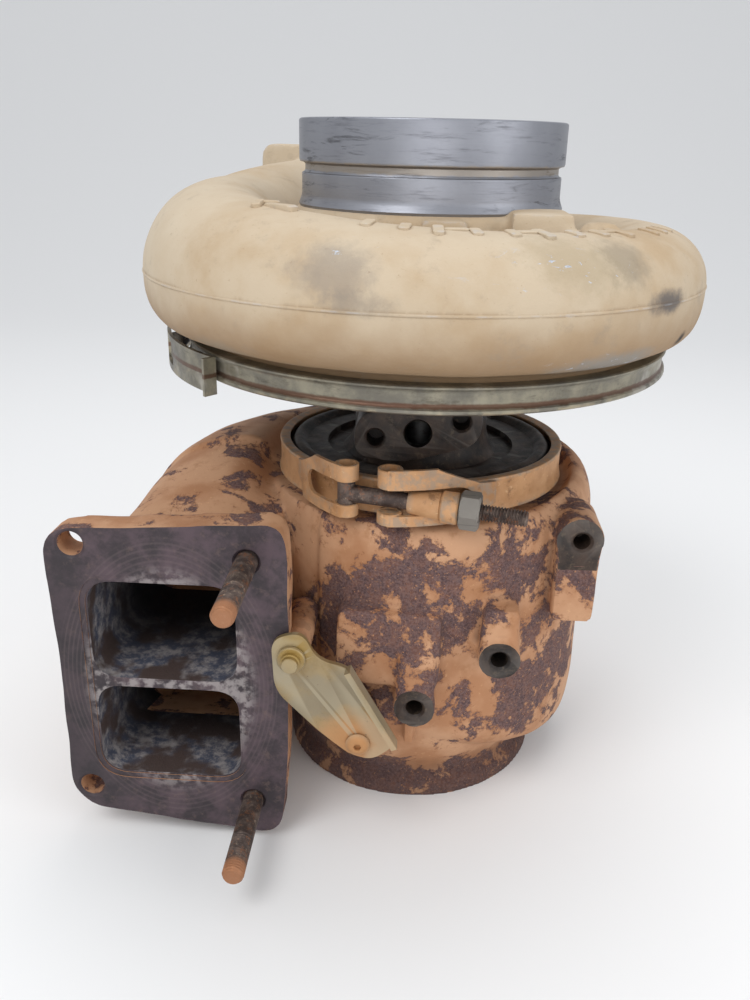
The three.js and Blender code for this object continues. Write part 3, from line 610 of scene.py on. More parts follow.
def band_steel():
    """Grey-tan clamp steel with a rusty line along its lower lip, and painted sheen in patches."""
    s = Surface("clamp_band_steel", metallic=0.75)
    base = s.mix(s.patches(0.38, 0.64, 30, 6, 0.65), "6f6b62", "97917f")
    base = s.tint(base, "4c453b", s.patches(0.52, 0.68, 9, 8, 0.72, (0.5, 0.5, 1.6)), 0.55)
    # Painted sheen: lighter patches standing in for highlights on the steel.
    painted_sheen = s.times(s.patches(0.56, 0.66, 26, 3), 0.6)
    base = s.mix(painted_sheen, base, "bdb8ad")
    low = s.wavy_height((6, 5), 0.8)
    line = s.times(s.step(low, 279.0, 279.8), s.step(low, 282.4, 281.2))
    base = s.tint(base, "5b3a2a", line, 0.8)
    paint_film = s.times(s.patches(0.5, 0.6, 15, 7), s.step(low, 278.8, 277.6))
    base = s.tint(base, "a89a80", paint_film, 0.5)
    s.bump(s.noise(1.2, 5, 0.7), 0.14, 0.5)
    s.bump(s.noise(9, 4), 0.3, 0.25)
    return s.done(base, s.span(s.noise(8, 6), 0.26, 0.58))


def painted_band():
    """Turbine clamp: tan paint over steel, dusty, bare at its edges, with painted shade in its hollows."""
    s = Surface("painted_clamp", metallic=0.1, specular=0.45)
    base = s.mix(s.patches(0.38, 0.66, 22, 6), "c19368", "a87a50")
    base = s.tint(base, "6e4d34", s.patches(0.54, 0.68, 7, 9, 0.72), 0.65)
    base = s.tint(base, "d9bb93", s.patches(0.6, 0.68, 2.4, 6, 0.7), 0.5)
    edge = s.times(s.step(s.pointed(), 0.515, 0.56), s.patches(0.4, 0.6, 5, 6))
    base = s.tint(base, "8d8478", edge, 0.6)
    # Painted shade: darker in hollows and creases.
    hollow_shade = s.step(s.pointed(), 0.49, 0.44)
    base = s.tint(base, "4a3526", hollow_shade, 0.5)
    s.bump(s.noise(1.6, 5, 0.65), 0.2, 0.5)
    return s.done(base, s.span(s.noise(8, 5), 0.42, 0.7))


def rusty_steel():
    """Old stud or bolt: dark scale with coppery rust."""
    s = Surface("rusty_bolt_steel", metallic=0.55)
    base = s.mix(s.patches(0.40, 0.62, 8, 8, 0.7), "473c38", "6f6058")
    base = s.tint(base, "8a5a3c", s.patches(0.52, 0.64, 5, 8, 0.75), 0.7)
    base = s.tint(base, "a3927f", s.patches(0.58, 0.68, 2, 6, 0.7), 0.6)
    tips = s.most(*[s.step(s.from_point((HOLES[name][0], STUD_TIP, HOLES[name][1])), 13, 8)
                    for name in ("upper_right", "lower_right")])
    base = s.tint(base, "b07a55", tips, 0.75)
    s.bump(s.noise(1.1, 6, 0.75), 0.3, 0.7)
    return s.done(base, s.span(s.noise(4, 5), 0.42, 0.8))


def zinc_plate():
    """Yellow zinc plating gone dull, with rust specks and tan overspray low down."""
    s = Surface("yellow_zinc", metallic=0.4)
    base = s.mix(s.patches(0.36, 0.66, 12, 7, 0.65), "8a744e", "9a8560")
    base = s.tint(base, "857c6a", s.patches(0.45, 0.6, 30, 4), 0.7)
    spray = s.spot((-28.5, -136, 77), (27, 22, 24), 0.4, 12)
    base = s.tint(base, "b98556", spray, 0.85)
    gold = s.spot((-66, -136, 137), (13, 14, 12), 0.3, 9)
    base = s.tint(base, "ad8d42", gold, 0.6)
    speck = s.patches(0.66, 0.70, 2.6, 6, 0.72)
    base = s.mix(speck, base, "4f2f22")
    edge = s.step(s.pointed(), 0.52, 0.58)
    base = s.tint(base, "b3a88f", edge, 0.5)
    s.bump(s.noise(1.6, 5, 0.65), 0.12, 0.5)
    s.bump(speck, -0.15, 0.7)
    return s.done(base, s.span(s.most(spray, s.noise(6, 4)), 0.3, 0.62))


def rubber():
    s = Surface("seal_rubber", specular=0.3)
    base = s.mix(s.noise(6, 5), "151515", "2c2a28")
    s.bump(s.noise(1.2, 4), 0.1, 0.4)
    return s.done(base, s.span(s.noise(5, 4), 0.6, 0.85))


MATERIALS = {
    "cover_paint": cover_paint(),
    "bare_aluminium": machined_aluminium(),
    "backplate_iron": oily_iron("backplate_iron", "5d4f42", "2c2724", 0.5),
    "centre_iron": oily_iron("oily_centre_iron", "43342b", "1e1816", 0.36),
    "turbine_iron": rusty_paint("rusty_turbine_paint"),
    "flange_face": flange_scale(),
    "soot_and_shade": soot_and_shade(),
    "clamp_steel": band_steel(),
    "painted_band": painted_band(),
    "rusty_steel": rusty_steel(),
    "dark_steel": worn_steel("dark_bolt_steel", "2e2a2d", "1c1a1b", "322924", 0.2, 0.55),
    "zinc": zinc_plate(),
    "bare_steel": worn_steel("bare_steel", "a9a8a8", "7f7d7c", "6b5c4c", 0.95, 0.34),
    "wheel_aluminium": worn_steel("wheel_aluminium", "c6c8cb", "a3a5a8", "7f776c", 0.95, 0.3),
    "wheel_alloy": worn_steel("wheel_alloy", "6f625a", "4b4240", "7b4f36", 0.8, 0.5),
    "bronze": worn_steel("bearing_bronze", "b99353", "93703a", "6b4e2a", 0.95, 0.36),
    "seal_rubber": rubber(),
}

# ---------------------------------------------------------------- compressor cover

SEAM = 327
TONGUE = 163
SCROLL_RADIUS = [(0, 132), (163, 130), (253, 123), (343, 124), (360, 126)]
SCROLL_WIDTH = [(0, 24), (73, 29), (163, 31.8), (253, 37), (343, 46), (360, 46)]
SCROLL_TOP = [(0, 22), (73, 26), (163, 30), (253, 34), (343, 50), (360, 50)]
SCROLL_DROP = 33
SCROLL_WALL = 7
DISCHARGE_LENGTH = 135
DISCHARGE_RISE = 22
DISCHARGE_START = 126
DISCHARGE_BORE = 33
DISCHARGE_BOLT = 36                 # from the middle of the discharge, both ways
COVER_BORE = 130.6                  # where the backplate sits
DISCHARGE_SIDE = Vector(round_point(1, TONGUE, 0))
DISCHARGE_WAY = Vector((DISCHARGE_SIDE.y, -DISCHARGE_SIDE.x, 0))


def scroll_section(centre, outward, width, up, down, points):
    """Wide ellipse above the seam, squarer below it."""
    ring = []
    for i in range(points):
        c, s = cos(2 * pi * i / points), sin(2 * pi * i / points)
        power = 2 / 3.2 if s < 0 else 1
        across = abs(c) ** power * width * (1 if c > 0 else -1)
        rise = abs(s) ** power * (-down if s < 0 else up)
        spot = centre + outward * across
        ring.append((spot.x, spot.y, centre.z + rise))
    return ring


def scroll_size(turn):
    return smoothly(SCROLL_RADIUS, turn), smoothly(SCROLL_WIDTH, turn), smoothly(SCROLL_TOP, turn)


def scroll(name, wall, points, overrun, step=4.5):
    rings = []
    turn = -9
    while turn < 360:
        outward = Vector(round_point(1, TONGUE - turn, 0))
        radius, width, top = scroll_size(turn)
        centre = outward * radius
        centre.z = SEAM
        rings.append(scroll_section(centre, outward, width - wall, top - wall, SCROLL_DROP - wall, points))
        turn += step
    pipe = DISCHARGE_BORE + SCROLL_WALL
    widest, highest = SCROLL_WIDTH[-1][1], SCROLL_TOP[-1][1]
    for i in range(13):
        share = i / 12
        eased = share * share * (3 - 2 * share)
        centre = discharge_point(share * (DISCHARGE_LENGTH + overrun), DISCHARGE_RISE * share)
        width, up, down = (size + (pipe - size) * eased - wall for size in (widest, highest, SCROLL_DROP))
        rings.append(scroll_section(centre, DISCHARGE_SIDE, width, up, down, points))
    half = len(rings) // 2
    return join(loft(name, rings[:half + 1]), loft(name + "_wide", rings[half:]))


def discharge_point(distance, rise):
    spot = DISCHARGE_SIDE * DISCHARGE_START + DISCHARGE_WAY * distance
    return Vector((spot.x, spot.y, SEAM + rise))


def discharge_plate(name, half, near, far, corner):
    """Square plate across the discharge, between two distances along it."""
    outline = box_outline((-half, -half), (half, half), corner)
    rings = []
    for distance in (near, far):
        middle = discharge_point(distance, DISCHARGE_RISE)
        rings.append([tuple(middle + DISCHARGE_SIDE * across + Vector((0, 0, rise)))
                      for across, rise in outline])
    return loft(name, rings)


def discharge_bar(name, across, rise, near, far, radius):
    start = discharge_point(near, DISCHARGE_RISE + rise) + DISCHARGE_SIDE * across
    end = discharge_point(far, DISCHARGE_RISE + rise) + DISCHARGE_SIDE * across
    return bar(name, start, end, radius)


def crest_mark(name, turn, lean, length, width, proud, twist=0.0):
    """Low raised pad lying on the scroll. lean is the angle round its section, 90 at the crest."""
    radius, half_width, top = scroll_size(turn)
    outward = Vector(round_point(1, TONGUE - turn, 0))
    onward = Vector((outward.y, -outward.x, 0))
    c, s = cos(radians(lean)), sin(radians(lean))
    spot = outward * (radius + half_width * c) + Vector((0, 0, SEAM + top * s))
    normal = (outward * (c / half_width) + Vector((0, 0, s / top))).normalized()
    across = onward.cross(normal).normalized()
    turned_on = onward * cos(radians(twist)) + across * sin(radians(twist))
    turned_across = turned_on.cross(normal).normalized()
    outline = box_outline((-width / 2, -length / 2), (width / 2, length / 2), min(width, length) * 0.4)
    rings = []
    for height, inset in ((-3.0, 1.0), (proud * 0.6, 1.0), (proud, 0.86)):
        rings.append([tuple(spot + turned_on * (u * inset) + turned_across * (v * inset) + normal * height)
                      for u, v in outline])
    return loft(name, rings)


def compressor_cover():
    core = lathe("core", [
        (0, 364), (75, 364), (79.5, 361.8), (81, 359), (81, 356), (84, 351), (91, 345.5), (122, 325),
        (137, 298), (136.5, 286), (0, 286)], 120)
    lug = prism("lug", rounded([(42, 346), (74, 346), (74, 366.5), (42, 366.5)], 3), -86, -46)
    boss = prism("boss", rounded([(-4, 346), (20, 346), (20, 362), (-4, 362)], 3), -88, -60)
    stops = turned("stop", (88, -74, 350), (88, -74, 362), [(0, 10), (9, 9.5), (12, 7.5)])
    body = join(scroll("compressor_cover_casting", 0, 64, -4), core, lug, boss, stops,
                discharge_plate("plate", 45.6, DISCHARGE_LENGTH - 18, DISCHARGE_LENGTH + 1, 12))
    cast(body, 2.3, 3, 0.45, 34)
    marks = []
    for i, turn in enumerate((206, 213, 220, 228, 235, 243, 251, 258, 266)):
        marks.append(crest_mark(f"mark_{i}", turn, 84, 12 if i % 3 else 17, 5.4, 0.9))
    for i, turn in enumerate((209.5, 231.5, 247)):
        marks.append(crest_mark(f"cross_{i}", turn, 88, 4.6, 12, 0.9))
    for i, turn in enumerate((182, 188, 194)):
        marks.append(crest_mark(f"bar_{i}", turn, 80, 12, 4.6, 0.9, 12))
    marks.append(crest_mark("arrow_stem", 289, 88, 6, 22, 1.6, 6))
    marks.append(crest_mark("arrow_left", 295, 84, 5, 13, 1.6, 52))
    marks.append(crest_mark("arrow_right", 295, 92, 5, 13, 1.6, -44))
    join(body, *marks)
    join(body, parting_line())
    trims = [discharge_plate("trim", 47, DISCHARGE_LENGTH, DISCHARGE_LENGTH + 12, 2),
             scroll("gas_way", SCROLL_WALL, 40, 8, 6),
             lathe("bore", [
                 (0, 420), (73.5, 420), (73.5, 362), (62, 361), (56, 348), (56, 338), (59, 322), (65, 311.5),
                 (76, 303.5), (104, 301.5), (104, 306), (COVER_BORE, 305), (COVER_BORE, 270), (0, 270)])]
    near, far = DISCHARGE_LENGTH - 13, DISCHARGE_LENGTH + 5
    for across in (-DISCHARGE_BOLT, DISCHARGE_BOLT):
        for rise in (-DISCHARGE_BOLT, DISCHARGE_BOLT):
            trims.append(discharge_bar("hole", across, rise, near, far, 5.2))
    cut(body, *trims)
    join(body, lathe("lip", [
        (COVER_BORE, 284.15), (140.2, 284.15), (141, 284.7), (141, 286.3), (140.4, 286.8), (136, 288.8),
        (136.6, 297.5), (COVER_BORE, 297.5)], 180))
    piece(body, "cover_paint", "compressor_cover", angle=38, regions=[("bare_aluminium", on_machined_cover)])


def on_machined_cover(centre, normal):
    away = centre - discharge_point(DISCHARGE_LENGTH, DISCHARGE_RISE)
    on_discharge = away.length < 66 and away.dot(DISCHARGE_WAY) > -0.2 and normal.dot(DISCHARGE_WAY) > 0.97
    return centre.z < 284.6 or on_discharge


def parting_line():
    """Thin raised line left by the two halves of the mould."""
    rings = []
    turn = 4
    while turn < 360:
        angle = TONGUE - turn
        radius, width, _ = scroll_size(turn)
        edge = radius + width
        rings.append([round_point(edge - 3, angle, SEAM - 2.2), round_point(edge + 0.35, angle, SEAM - 0.5),
                      round_point(edge + 0.55, angle, SEAM), round_point(edge + 0.35, angle, SEAM + 0.6),
                      round_point(edge - 3, angle, SEAM + 2.4)])
        turn += 3
    return loft("parting_line", rings)


def inlet_spigot():
    """Machined hose spigot and the turned bore down to the wheel."""
    body = lathe("inlet_spigot", [
        (73.2, 410), (75.8, 410), (76.6, 409.6), (77, 408.8), (77, 388.2), (76.5, 387), (74.6, 386.6),
        (73.6, 385.8), (73.6, 382.6), (74.2, 381.6), (75.2, 381.2), (75.5, 380.6), (75.5, 370), (76.2, 367.4),
        (77.4, 364.4), (76, 361), (66, 356), (60, 346), (60, 336), (63, 323), (68, 313), (78, 306),
        (104, 303.4), (104, 300), (74, 302), (68.3, 305.4), (63, 310), (59, 316.5), (57, 322), (54.9, 330),
        (54, 338), (54, 348), (56.4, 354), (60, 362), (66.5, 386), (71.4, 408.6), (71.9, 409.7)], 192)
    piece(body, "bare_aluminium", "compressor_cover", angle=28)


def backplate():
    body = lathe("compressor_backplate_turned", [
        (17, 277), (17, 288.5), (22, 290), (129.6, 290), (130.3, 289.3), (130.3, 288.4), (127, 288.4),
        (127, 285.6), (130.3, 285.6), (130.3, 283.85), (140.4, 283.85), (141, 283.3), (141, 281.8),
        (140.4, 281.2), (136, 279.4), (135.2, 278), (134.4, 274.6), (132.5, 273.6), (118, 272.2),
        (117, 270.8), (96, 269.6), (95, 268.6), (62, 266.5), (26, 266.5), (26, 275)], 180)
    join(body, *[backplate_rib(15 + 30 * i) for i in range(12)])
    cut(body, *[bar("hole", (*place, 255), (*place, 300), 4.4) for place in backplate_bolts()])
    piece(body, "backplate_iron", "compressor_backplate")


def backplate_rib(angle):
    way = Vector(round_point(1, angle, 0))
    side = Vector((-way.y, way.x, 0)) * 2.2
    rings = []
    for radius, low in ((64, 263.4), (92, 265.4), (128, 271.2)):
        section = ((-1.2, 275), (1.2, 275), (0.8, low), (-0.8, low))
        rings.append([tuple(way * radius + side * k + Vector((0, 0, z))) for k, z in section])
    return loft("rib", rings)


def backplate_bolts():
    return [round_point(53, 30 + 60 * i, 0)[:2] for i in range(6)]


# ---------------------------------------------------------------- bearing housing

DRAIN = 243


def bearing_housing():
    core = lathe("bearing_housing_casting", [
        (0, 266), (63, 266), (63, 258), (50, 254), (45, 248), (42, 240), (42.5, 226), (46, 217), (53, 211),
        (62, 210), (70, 214.5), (76, 220), (79, 222), (82, 220), (84, 216.5), (84, 213.2), (66, 213.2),
        (66, 147), (60, 137), (0, 137)], 96)
    (left_x, left_z), (right_x, right_z) = oil_holes()
    flange = prism("oil_flange", rounded([
        (left_x - 13.5, left_z - 11.5), (-8, DRAIN - 20.5), (right_x + 11.5, right_z - 13.5),
        (right_x + 13.5, right_z + 9.5), (4, DRAIN + 19.5), (left_x - 11.5, left_z + 13.5)], 13), -63, -20)
    feed = bar("feed", (0, 30, DRAIN), (0, 62.5, DRAIN), 17.6)
    body = join(core, flange, feed)
    cast(body, 2.0, 3, 0.35, 22)
    joint = lathe("joint", [
        (60, 212.15), (87.4, 212.15), (88, 212.7), (88, 214.4), (87.2, 215), (83.4, 216.9), (80, 217.5),
        (60, 217.5)], 144)
    nose = lathe("nose", [
        (12, 136), (59.6, 136), (64.6, 145), (66, 147), (66, 214), (40, 214), (30, 150), (12, 146)], 128)
    face = lathe("face", [(30, 255), (62.4, 258.4), (63, 259), (63, 265.4), (62.4, 266), (30, 266)], 128)
    join(body, joint, nose, face)
    tools = [block("face_cut", (-60, -75, 200), (60, -62, 290)),
             block("back_cut", (-40, 62, 215), (40, 80, 270)),
             lathe("bore", [
                 (0, 130), (14.2, 130), (14.2, 162), (17.5, 162), (17.5, 258.1), (22, 258.1), (22, 262),
                 (33, 262), (33, 270), (0, 270)], 72),
             turned("drain", (-1.4, -70, DRAIN), (-1.4, 0, DRAIN - 20), [
                 (0, 8.6), (8.3, 8.6), (10, 8), (72, 8)]),
             turned("feed_hole", (0, 70, DRAIN), (0, 8, DRAIN), [(0, 6.4), (8, 6.4), (9.5, 5), (62, 5)])]
    for x, z in oil_holes():
        tools.append(turned("hole", (x, -70, z), (x, -46, z), [(0, 6.4), (8, 6.4), (9.2, 5.2), (24, 5.2)]))
    for x, y in backplate_bolts():
        tools.append(bar("thread", (x, y, 250.5), (x, y, 270), 4.4))
    cut(body, *tools)
    piece(body, "centre_iron", "bearing_housing", angle=38)


def oil_holes():
    return (-26.4, DRAIN - 5.7), (23.6, DRAIN + 5.7)


# ---------------------------------------------------------------- turbine housing

TURBINE_OUTER = [(-125, 100), (-90, 102), (-45, 108), (0, 114), (60, 126), (120, 152), (180, 184)]
TURBINE_FLOOR = [(-125, 52), (-90, 50), (-45, 32), (0, 20), (60, 14), (180, 14)]
TURBINE_CREST = [(-125, 196), (-90, 196), (-45, 202), (0, 208), (90, 212), (180, 217)]
TURBINE_SHOULDER = [(-125, 178), (0, 180), (90, 172), (180, 158)]
STUD_RADIUS = 6.15
PORTS = {"upper": (109.5, 171), "lower": (44, 103.5)}
PORT_LEFT, PORT_RIGHT = -181, -98
BRACKET_HOLES = {"upper": (-66.2, 131.5), "lower": (-28.5, 77)}
BRACKET_BACK = -133
BOSS_HOLES = (3, 89, -117), (51, 122, -113), (96, 186, -84)      # x, height and face along Y


def softened(outline, rounds=2):
    """Cut the corners of a closed outline, so that it turns smoothly."""
    for _ in range(rounds):
        cutting = []
        for i, here in enumerate(outline):
            after = outline[(i + 1) % len(outline)]
            cutting.append(tuple(a * 0.78 + b * 0.22 for a, b in zip(here, after)))
            cutting.append(tuple(a * 0.22 + b * 0.78 for a, b in zip(here, after)))
        outline = cutting
    return outline


def turbine_section(outer, floor, crest, shoulder):
    fall, reach = crest - shoulder, outer - 97
    return [
        (70, floor), (outer - 16, floor), (outer - 4, floor + 9), (outer - 1, floor + 28), (outer, shoulder),
        (outer - reach * 0.07, shoulder + fall * 0.45), (outer - reach * 0.28, shoulder + fall * 0.78),
        (outer - reach * 0.6, shoulder + fall * 0.96), (97 + reach * 0.1, crest), (96, 198), (70, 198)]


def turbine_scroll():
    rings = []
    for step in range(62):
        angle = -125 + 305 * step / 61
        section = turbine_section(smoothly(TURBINE_OUTER, angle), smoothly(TURBINE_FLOOR, angle),
                                  smoothly(TURBINE_CREST, angle), smoothly(TURBINE_SHOULDER, angle))
        rings.append([round_point(r, angle, z) for r, z in softened(section)])
    return loft("turbine_housing_casting", rings)


def inlet_duct():
    start = [(-r, 6, z) for r, z in softened(turbine_section(181.5, 15.5, 215, 157))]
    end = [(-x, FLANGE_BACK - 1, z) for x, z in softened([
        (86, 37), (176, 37), (184, 40), (189, 48), (189, 160), (186, 170), (180, 176), (172, 179),
        (120, 182), (90, 180), (86, 172)])]
    rings = []
    for step in range(11):
        share = step / 10
        rings.append([tuple(Vector(a).lerp(Vector(b), share)) for a, b in zip(start, end)])
    return loft("duct", rings)


def gas_channel(name, low, high, upper):
    rings = []
    for step in range(50):
        angle = -112 + 292 * step / 49
        outer = smoothly(TURBINE_OUTER, angle) - 10
        floor = low if upper else max(smoothly(TURBINE_FLOOR, angle) + 10, 30)
        outline = box_outline((76, floor), (outer, high), 15)
        rings.append([round_point(r, angle, z) for r, z in outline])
    for y in (-20, -45, -70, -100, FLANGE_FACE - 3):
        outline = box_outline((-PORT_RIGHT, low), (-PORT_LEFT, high), 15)
        share = min(1.0, -y / 70)
        first = box_outline((76, low if upper else 30), (174, high), 15)
        rings.append([(-(a[0] * (1 - share) + b[0] * share), y, a[1] * (1 - share) + b[1] * share)
                      for a, b in zip(first, outline)])
    return loft(name, rings)


def boss(name, x, z, face, radius, depth):
    profile = [(0, radius + 1.2), (depth, radius + 0.4), (depth + 2, radius)]
    return turned(name, (x, face + depth, z), (x, face - 2, z), profile)


def turbine_housing():
    core = lathe("core", [
        (0, 205), (83, 205), (83, 196), (95, 196), (97, 188), (97.2, 120), (97, 53), (93, 42), (88, 32),
        (82.5, 24), (81, 18), (81, 13), (84, 10), (86, 7.5), (86, -2), (0, -2)], 120)
    outline = rounded([
        (-203, 201), (-71, 210), (-68, 185), (-70, 55), (-75, 2.5), (-190, 17), (-202, 30),
        (-200, 120)], 17, 10)
    flange = prism("flange", outline, FLANGE_FACE - 3, FLANGE_BACK)
    ledge = prism("ledge", rounded([(-45, 99), (17, 99), (17, 146), (-43, 148)], 5), -109, -60)
    rib = loft("rib", [[(x - 4, y, z) for x, y in ((0, -92), (8, -92), (7, -106), (1, -106))]
                       for z, x in ((56, -38), (98, -36))])
    webs = [prism("web", rounded(corners, 3), front, back) for corners, front, back in (
        ([(-9, 89), (15, 89), (14, 122), (-6, 122)], -114, -84),
        ([(39.5, 122), (62.5, 122), (61.5, 152), (41, 152)], -110, -80),
        ([(82, 134), (107, 134), (108, 188), (82, 188)], -84, -48))]
    (low_x, low_z, low_face), (middle_x, middle_z, middle_face), (_, _, right_face) = BOSS_HOLES
    body = join(core, turbine_scroll(), inlet_duct(), flange, ledge, rib,
                boss("boss_low", low_x, low_z, low_face, 12.1, 36), webs[0],
                boss("boss_middle", middle_x, middle_z, middle_face, 11.6, 42), webs[1],
                webs[2], boss("boss_right", 95, 187, right_face, 13.4, 34))
    cast(body, 2.2, 2, 0.7, 26)
    cut(body, block("face_cut", (-215, -145, -5), (-60, FLANGE_FACE, 216)),
        block("low_cut", (-14, -140, 72), (24, low_face, 106)),
        block("middle_cut", (34, -130, 106), (68, middle_face, 142)),
        block("right_cut", (78, -100, 168), (114, right_face, 206)),
        block("foot_cut", (-110, -110, -20), (110, 110, 0)))
    pads = [bar("pad", (x, -80, z), (x, BRACKET_BACK + 0.3, z), 9, chamfer=0.8)
            for x, z in BRACKET_HOLES.values()]
    joint = lathe("joint", [(66.6, 196), (83, 196), (83, 206.4), (84, 207.2), (87.4, 208.8), (88, 209.4),
                            (88, 211.3), (87.5, 211.85), (66.6, 211.85)], 160)
    join(body, joint, *pads)
    tools = [gas_channel("upper_gas", *PORTS["upper"], True),
             gas_channel("lower_gas", *PORTS["lower"], False),
             lathe("nozzle", [(55, 96), (80, 96), (80, 122), (55, 122)]),
             lathe("bore", [
                 (0, 220), (66.4, 220), (66.4, 128), (61, 124.5), (61, 96), (58.8, 84), (56, 77), (54, 72),
                 (53, 66), (53, 60), (56, 48), (71.2, 2), (72.6, 0), (73, -3), (0, -3)], 160),
             imprint("gasket_print", 4.5, 0.5), imprint("port_land", 1.2, 0.9)]
    for name, (x, z) in HOLES.items():
        radius = STUD_RADIUS + 0.3 if name.endswith("right") else 7.2
        tools.append(turned("hole", (x, FLANGE_FACE - 4, z), (x, FLANGE_BACK + 12, z), [
            (0, radius + 1.4), (4, radius + 1.4), (5.2, radius), (35, radius)]))
    for x, z, face in BOSS_HOLES:
        profile = [(0, 6.6), (4, 6.6), (5.6, 5), (23, 5)]
        tools.append(turned("hole", (x, face - 4, z), (x, face + 19, z), profile))
    for x, z in BRACKET_HOLES.values():
        tools.append(bar("hole", (x, BRACKET_BACK - 5, z), (x, BRACKET_BACK + 18, z), 4.8))
    tools.append(bar("small_hole", (-66, -104, 168), (-66, -84, 168), 3.2))
    cut(body, *tools)
    piece(body, "turbine_iron", "turbine_housing", angle=38, regions=[
        ("soot_and_shade", in_port), ("flange_face", on_flange_face),
        ("centre_iron", in_bore), ("centre_iron", on_boss_face)])


def imprint(name, spread, depth):
    """Shallow recess left by the gasket round both ports."""
    outline = box_outline((PORT_LEFT - spread, PORTS["lower"][0] - spread),
                          (PORT_RIGHT + spread, PORTS["upper"][1] + spread), 16 + spread)
    return prism(name, outline, FLANGE_FACE - 5, FLANGE_FACE + depth)


def in_port(centre, normal):
    outer_wall = centre.x < PORT_LEFT + 11 and normal.x < -0.3
    return (not outer_wall and PORT_LEFT - 1.5 < centre.x < PORT_RIGHT + 1.5 and 42.5 < centre.z < 172.5
            and FLANGE_FACE + 1.5 < centre.y < -12 and abs(normal.y) < 0.9)


def on_flange_face(centre, normal):
    return normal.y < -0.6 and centre.y < FLANGE_FACE + 1.2 and centre.x < -68


def on_boss_face(centre, normal):
    low = abs(centre.x - 3) < 14 and centre.y < -116.6
    middle = abs(centre.x - 51) < 14 and centre.y < -112.6 and centre.z < 140
    right = abs(centre.x - 96) < 16 and -84.6 < centre.y < -83.4 and centre.z > 168
    in_hole = any((centre.x - x) ** 2 + (centre.z - z) ** 2 < 50 and centre.y < -60 for x, z, _ in BOSS_HOLES)
    return (normal.y < -0.97 and (low or middle or right)) or in_hole


def in_bore(centre, normal):
    distance = Vector((centre.x, centre.y)).length
    return distance < 74 and (centre.z < 205 or distance < 67)

# ---------------------------------------------------------------- clamps

TURBINE_BOLT = {
    "head": (-40, -95, 215.5), "tip": (60, -112.4, 211), "radius": 4.7, "head_radius": 5, "head_length": 24,
    "sleeve": (0.35, 0.53, 0.63), "collar": 9, "nut": (0.635, 0.745), "nut_radius": 11, "pitch": 1.75}
COMPRESSOR_BOLT = {
    "head": (-149, -31, 280), "tip": (-156, 62, 280), "radius": 3.4, "head_radius": 3.6, "head_length": 18,
    "sleeve": (0.58, 0.68, 0.74), "collar": 6.5, "nut": (0.745, 0.83), "nut_radius": 7.5, "pitch": 1.25}


def on_bolt(bolt, share):
    return tuple(Vector(bolt["head"]).lerp(Vector(bolt["tip"]), share))


def clamp_bolt(name, bolt, node, material):
    x, y, z = bolt["head"]
    half = bolt["head_length"] / 2
    radius = bolt["radius"]
    middle = on_bolt(bolt, 0.5)
    length = (Vector(middle) - Vector(bolt["head"])).length
    plain = turned(name, bolt["head"], middle, [
        (0, radius), (3, radius + 0.5), (9, radius + 0.2), (20, radius), (length, radius - 0.1)])
    head = bar("head", (x, y, z - half), (x, y, z + half), bolt["head_radius"], chamfer=0.8)
    screw = threaded("screw", on_bolt(bolt, 0.48), bolt["tip"], radius, bolt["pitch"] * 0.5, bolt["pitch"])
    body = join(plain, head, screw)
    piece(body, material, node)


def clamp_sleeve(name, bolt, node, material):
    start, middle, end = (on_bolt(bolt, share) for share in bolt["sleeve"])
    length = (Vector(end) - Vector(start)).length
    flare = (Vector(middle) - Vector(start)).length
    radius, collar = bolt["radius"] + 2.3, bolt["collar"]
    body = turned(name, start, end, [
        (0, radius - 1.2), (2, radius - 0.2), (5, radius), (flare * 0.7, radius + 0.5),
        (flare - 0.4, radius + 0.9), (flare, radius + 0.5), (flare + 0.3, collar - 0.8),
        (flare + 1.2, collar), (length - 1, collar), (length, collar - 0.8)], 48)
    cut(body, bar("bore", on_bolt(bolt, bolt["sleeve"][0] - 0.03), on_bolt(bolt, bolt["sleeve"][2] + 0.03),
                  bolt["radius"] + 0.3))
    piece(body, material, node)


def clamp_nut(name, bolt, node, rides):
    body = hexagon(name, on_bolt(bolt, bolt["nut"][0]), on_bolt(bolt, bolt["nut"][1]), bolt["nut_radius"],
                   bolt["radius"] - 0.15, 1.3)
    piece(body, "dark_steel", node, rides, angle=25)


def band(name, profile, open_at, half_gap, material, node):
    """Bent band, with a gap at one angle."""
    body = lathe(name, profile, 216)
    way = Vector(round_point(1, open_at, 0))
    side = Vector((-way.y, way.x, 0)) * half_gap
    near, far = profile[1][0] - 30, profile[1][0] + 30
    corners = [way * near - side, way * far - side, way * far + side, way * near + side]
    cut(body, loft("gap", [[(p.x, p.y, z) for p in corners] for z in (190, 300)]))
    piece(body, material, node)


def bent_layer(name, path, low, high, half, steps=26):
    """Sheet along a path of (angle, radius), between two heights, bent about the shaft axis."""
    rings = []
    for step in range(steps + 1):
        angle, radius = path(step / steps)
        rings.append([round_point(radius - half, angle, low), round_point(radius + half, angle, low),
                      round_point(radius + half, angle, high), round_point(radius - half, angle, high)])
    return loft(name, rings)


def bent_hole(path, outline, half):
    """Cutter through a bent sheet, from an outline of (share along the path, height)."""
    rings = []
    for offset in (-half, half):
        ring = []
        for share, z in outline:
            angle, radius = path(share)
            ring.append(round_point(radius + offset, angle, z))
        rings.append(ring)
    return loft("window", rings)


def strap_path(start, end, r_start, r_end):
    return lambda share: (start + (end - start) * share, r_start + (r_end - r_start) * share)


def open_window(near, low, high, bend, far=1.12):
    """Outline of a strap's window: round at its closed end, and open past the end of the strap."""
    middle, half = (low + high) / 2, (high - low) / 2
    closed_end = [(near + bend * (1 - sin(pi * i / 14)), middle + half * cos(pi * i / 14)) for i in range(15)]
    return closed_end + [(0.78, low), (far, low), (far, high), (0.78, high)]


